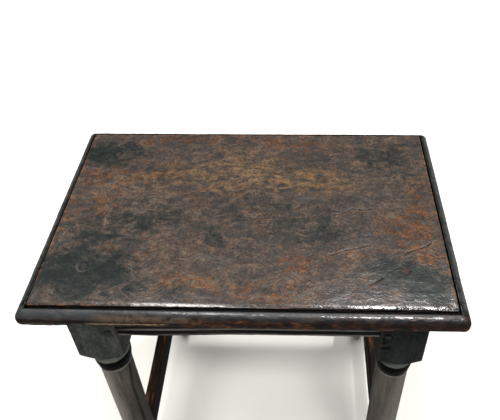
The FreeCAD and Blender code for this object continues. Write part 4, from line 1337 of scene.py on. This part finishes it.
def make_studio():
    """A pale floor, a pale surrounding and soft lamps."""
    corners = [(x * FLOOR_HALF, y * FLOOR_HALF, 0) for x, y in ((-1, -1), (1, -1), (1, 1), (-1, 1))]
    floor = new_piece("studio_floor", corners, [(0, 1, 2, 3)])
    graph = Finish("studio_paper")
    tone = graph.noise(graph.node("ShaderNodeTexCoord", output="Object"), 1.5, 2, 0.5)
    floor.data.materials.append(graph.shade({
        "Base Color": graph.mix(tone, (237, 234, 227), (242, 239, 232)), "Roughness": 0.9,
        "Specular IOR Level": 0.1}))
    floor.visible_glossy = False
    world = bpy.data.worlds.new("studio")
    world.use_nodes = True
    background = world.node_tree.nodes["Background"]
    background.inputs["Color"].default_value = (1.0, 1.0, 1.0, 1.0)
    background.inputs["Strength"].default_value = WORLD_STRENGTH
    bpy.context.scene.world = world
    for name, spot, aim, width, power, mirrored in LAMPS:
        lamp = bpy.data.lights.new(name, "AREA")
        lamp.shape = "RECTANGLE"
        lamp.size, lamp.size_y = width
        lamp.energy = power
        fitting = show(name, lamp)
        fitting.location = spot
        fitting.visible_glossy = mirrored
        way = Vector(aim) - Vector(spot)
        fitting.rotation_euler = way.to_track_quat("-Z", "Y").to_euler()
    bpy.context.scene.view_settings.view_transform = "Standard"


def make_camera():
    camera = bpy.data.cameras.new("photograph")
    camera.lens = CAMERA_LENS
    camera.sensor_width = SENSOR_WIDTH
    camera.sensor_fit = "HORIZONTAL"
    camera.shift_x, camera.shift_y = CAMERA_SHIFT
    camera.clip_start = CLIP_START
    stand = show("photograph", camera)
    tilt = Euler((math.pi / 2 - CAMERA_PITCH, 0, -CAMERA_YAW)).to_matrix()
    roll = Matrix.Rotation(CAMERA_ROLL, 3, "Z")
    stand.matrix_world = Matrix.Translation(CAMERA_PLACE) @ (tilt @ roll).to_4x4()
    bpy.context.scene.camera = stand


def make_legs(corners):
    """The four legs, and the pegs of each: those through its rails and its stretchers."""
    leg_oak = leg_finish()
    tree = leg_tree()
    peg_places = {}
    for number, (side, end) in enumerate(corners):
        rail_places = leg_peg_places(SIDES[side], ENDS[end], *RAIL_PEGS)
        low_places = leg_peg_places(SIDES[side], ENDS[end], *STRETCHER_PEGS)
        leg = make_leg(tree, side, end, number, leg_oak)
        sunk = 0 if f"{end}_{side}" == SUNK_PEG_LEG else None
        bore_leg(leg, rail_places + low_places, sunk)
        if sunk is not None:
            spot, way = rail_places[sunk]
            rail_places[sunk] = (spot - way * SUNK_PEG_DEPTH, way)
        peg_places[f"rail_pegs_{end}_{side}"] = rail_places
        peg_places[f"stretcher_pegs_{end}_{side}"] = low_places
        put_in_frame(leg, leg_oak, [f"leg_{end}_{side}"])
    return peg_places


def make_seat_pegs(tree):
    """Three round pegs and a square one in the top of the seat."""
    oak = peg_finish("seat_peg_oak", (20, 21, 20), (52, 50, 47), 0.5)
    places = {name: (Vector((*spot, SEAT_TOP - SEAT_PEG_DROP)), Vector((0, 0, 1)))
              for name, spot in SEAT_PEG_PLACES.items()}
    squared = places.pop(SQUARE_PEG)
    piece = make_pegs(tree, "oak_seat_pegs", list(places.values()), oak,
                      Radius=SEAT_PEG_RADIUS, Length=SEAT_PEG_LENGTH)
    square = make_pegs(tree, "oak_square_peg", [squared], oak, Radius=SQUARE_PEG_RADIUS,
                       Length=SEAT_PEG_LENGTH, Sides=4.0, Spin=0.0, Turn=SQUARE_PEG_TURN)
    join_meshes(piece, square)
    put_in_frame(piece, oak, ["seat_pegs"])


def make_stool():
    seat_oak = seat_finish()
    put_in_frame(make_seat_board(), seat_oak, ["seat_top"])
    peg_places = make_legs([(side, end) for end in ENDS for side in SIDES])
    rail_oak = bar_finish("rail_oak", (12, 12, 12), (28, 26, 24), (56, 50, 44), 0.0, BEAD_CRESTS)
    stretcher_oak = bar_finish("stretcher_oak", (8, 7, 6), (22, 18, 14), (52, 38, 27), 0.9)
    make_bars("rail", rail_outline(), RAIL_WEAR, rail_oak)
    make_bars("stretcher", stretcher_outline(), STRETCHER_WEAR, stretcher_oak)
    tree = peg_tree()
    peg_oak = peg_finish("frame_peg_oak", (18, 20, 19), (66, 70, 66))
    for node, places in peg_places.items():
        piece = make_pegs(tree, f"oak_{node}", places, peg_oak)
        put_in_frame(piece, peg_oak, [node])
    make_seat_pegs(tree)


make_camera()
make_studio()
make_stool()
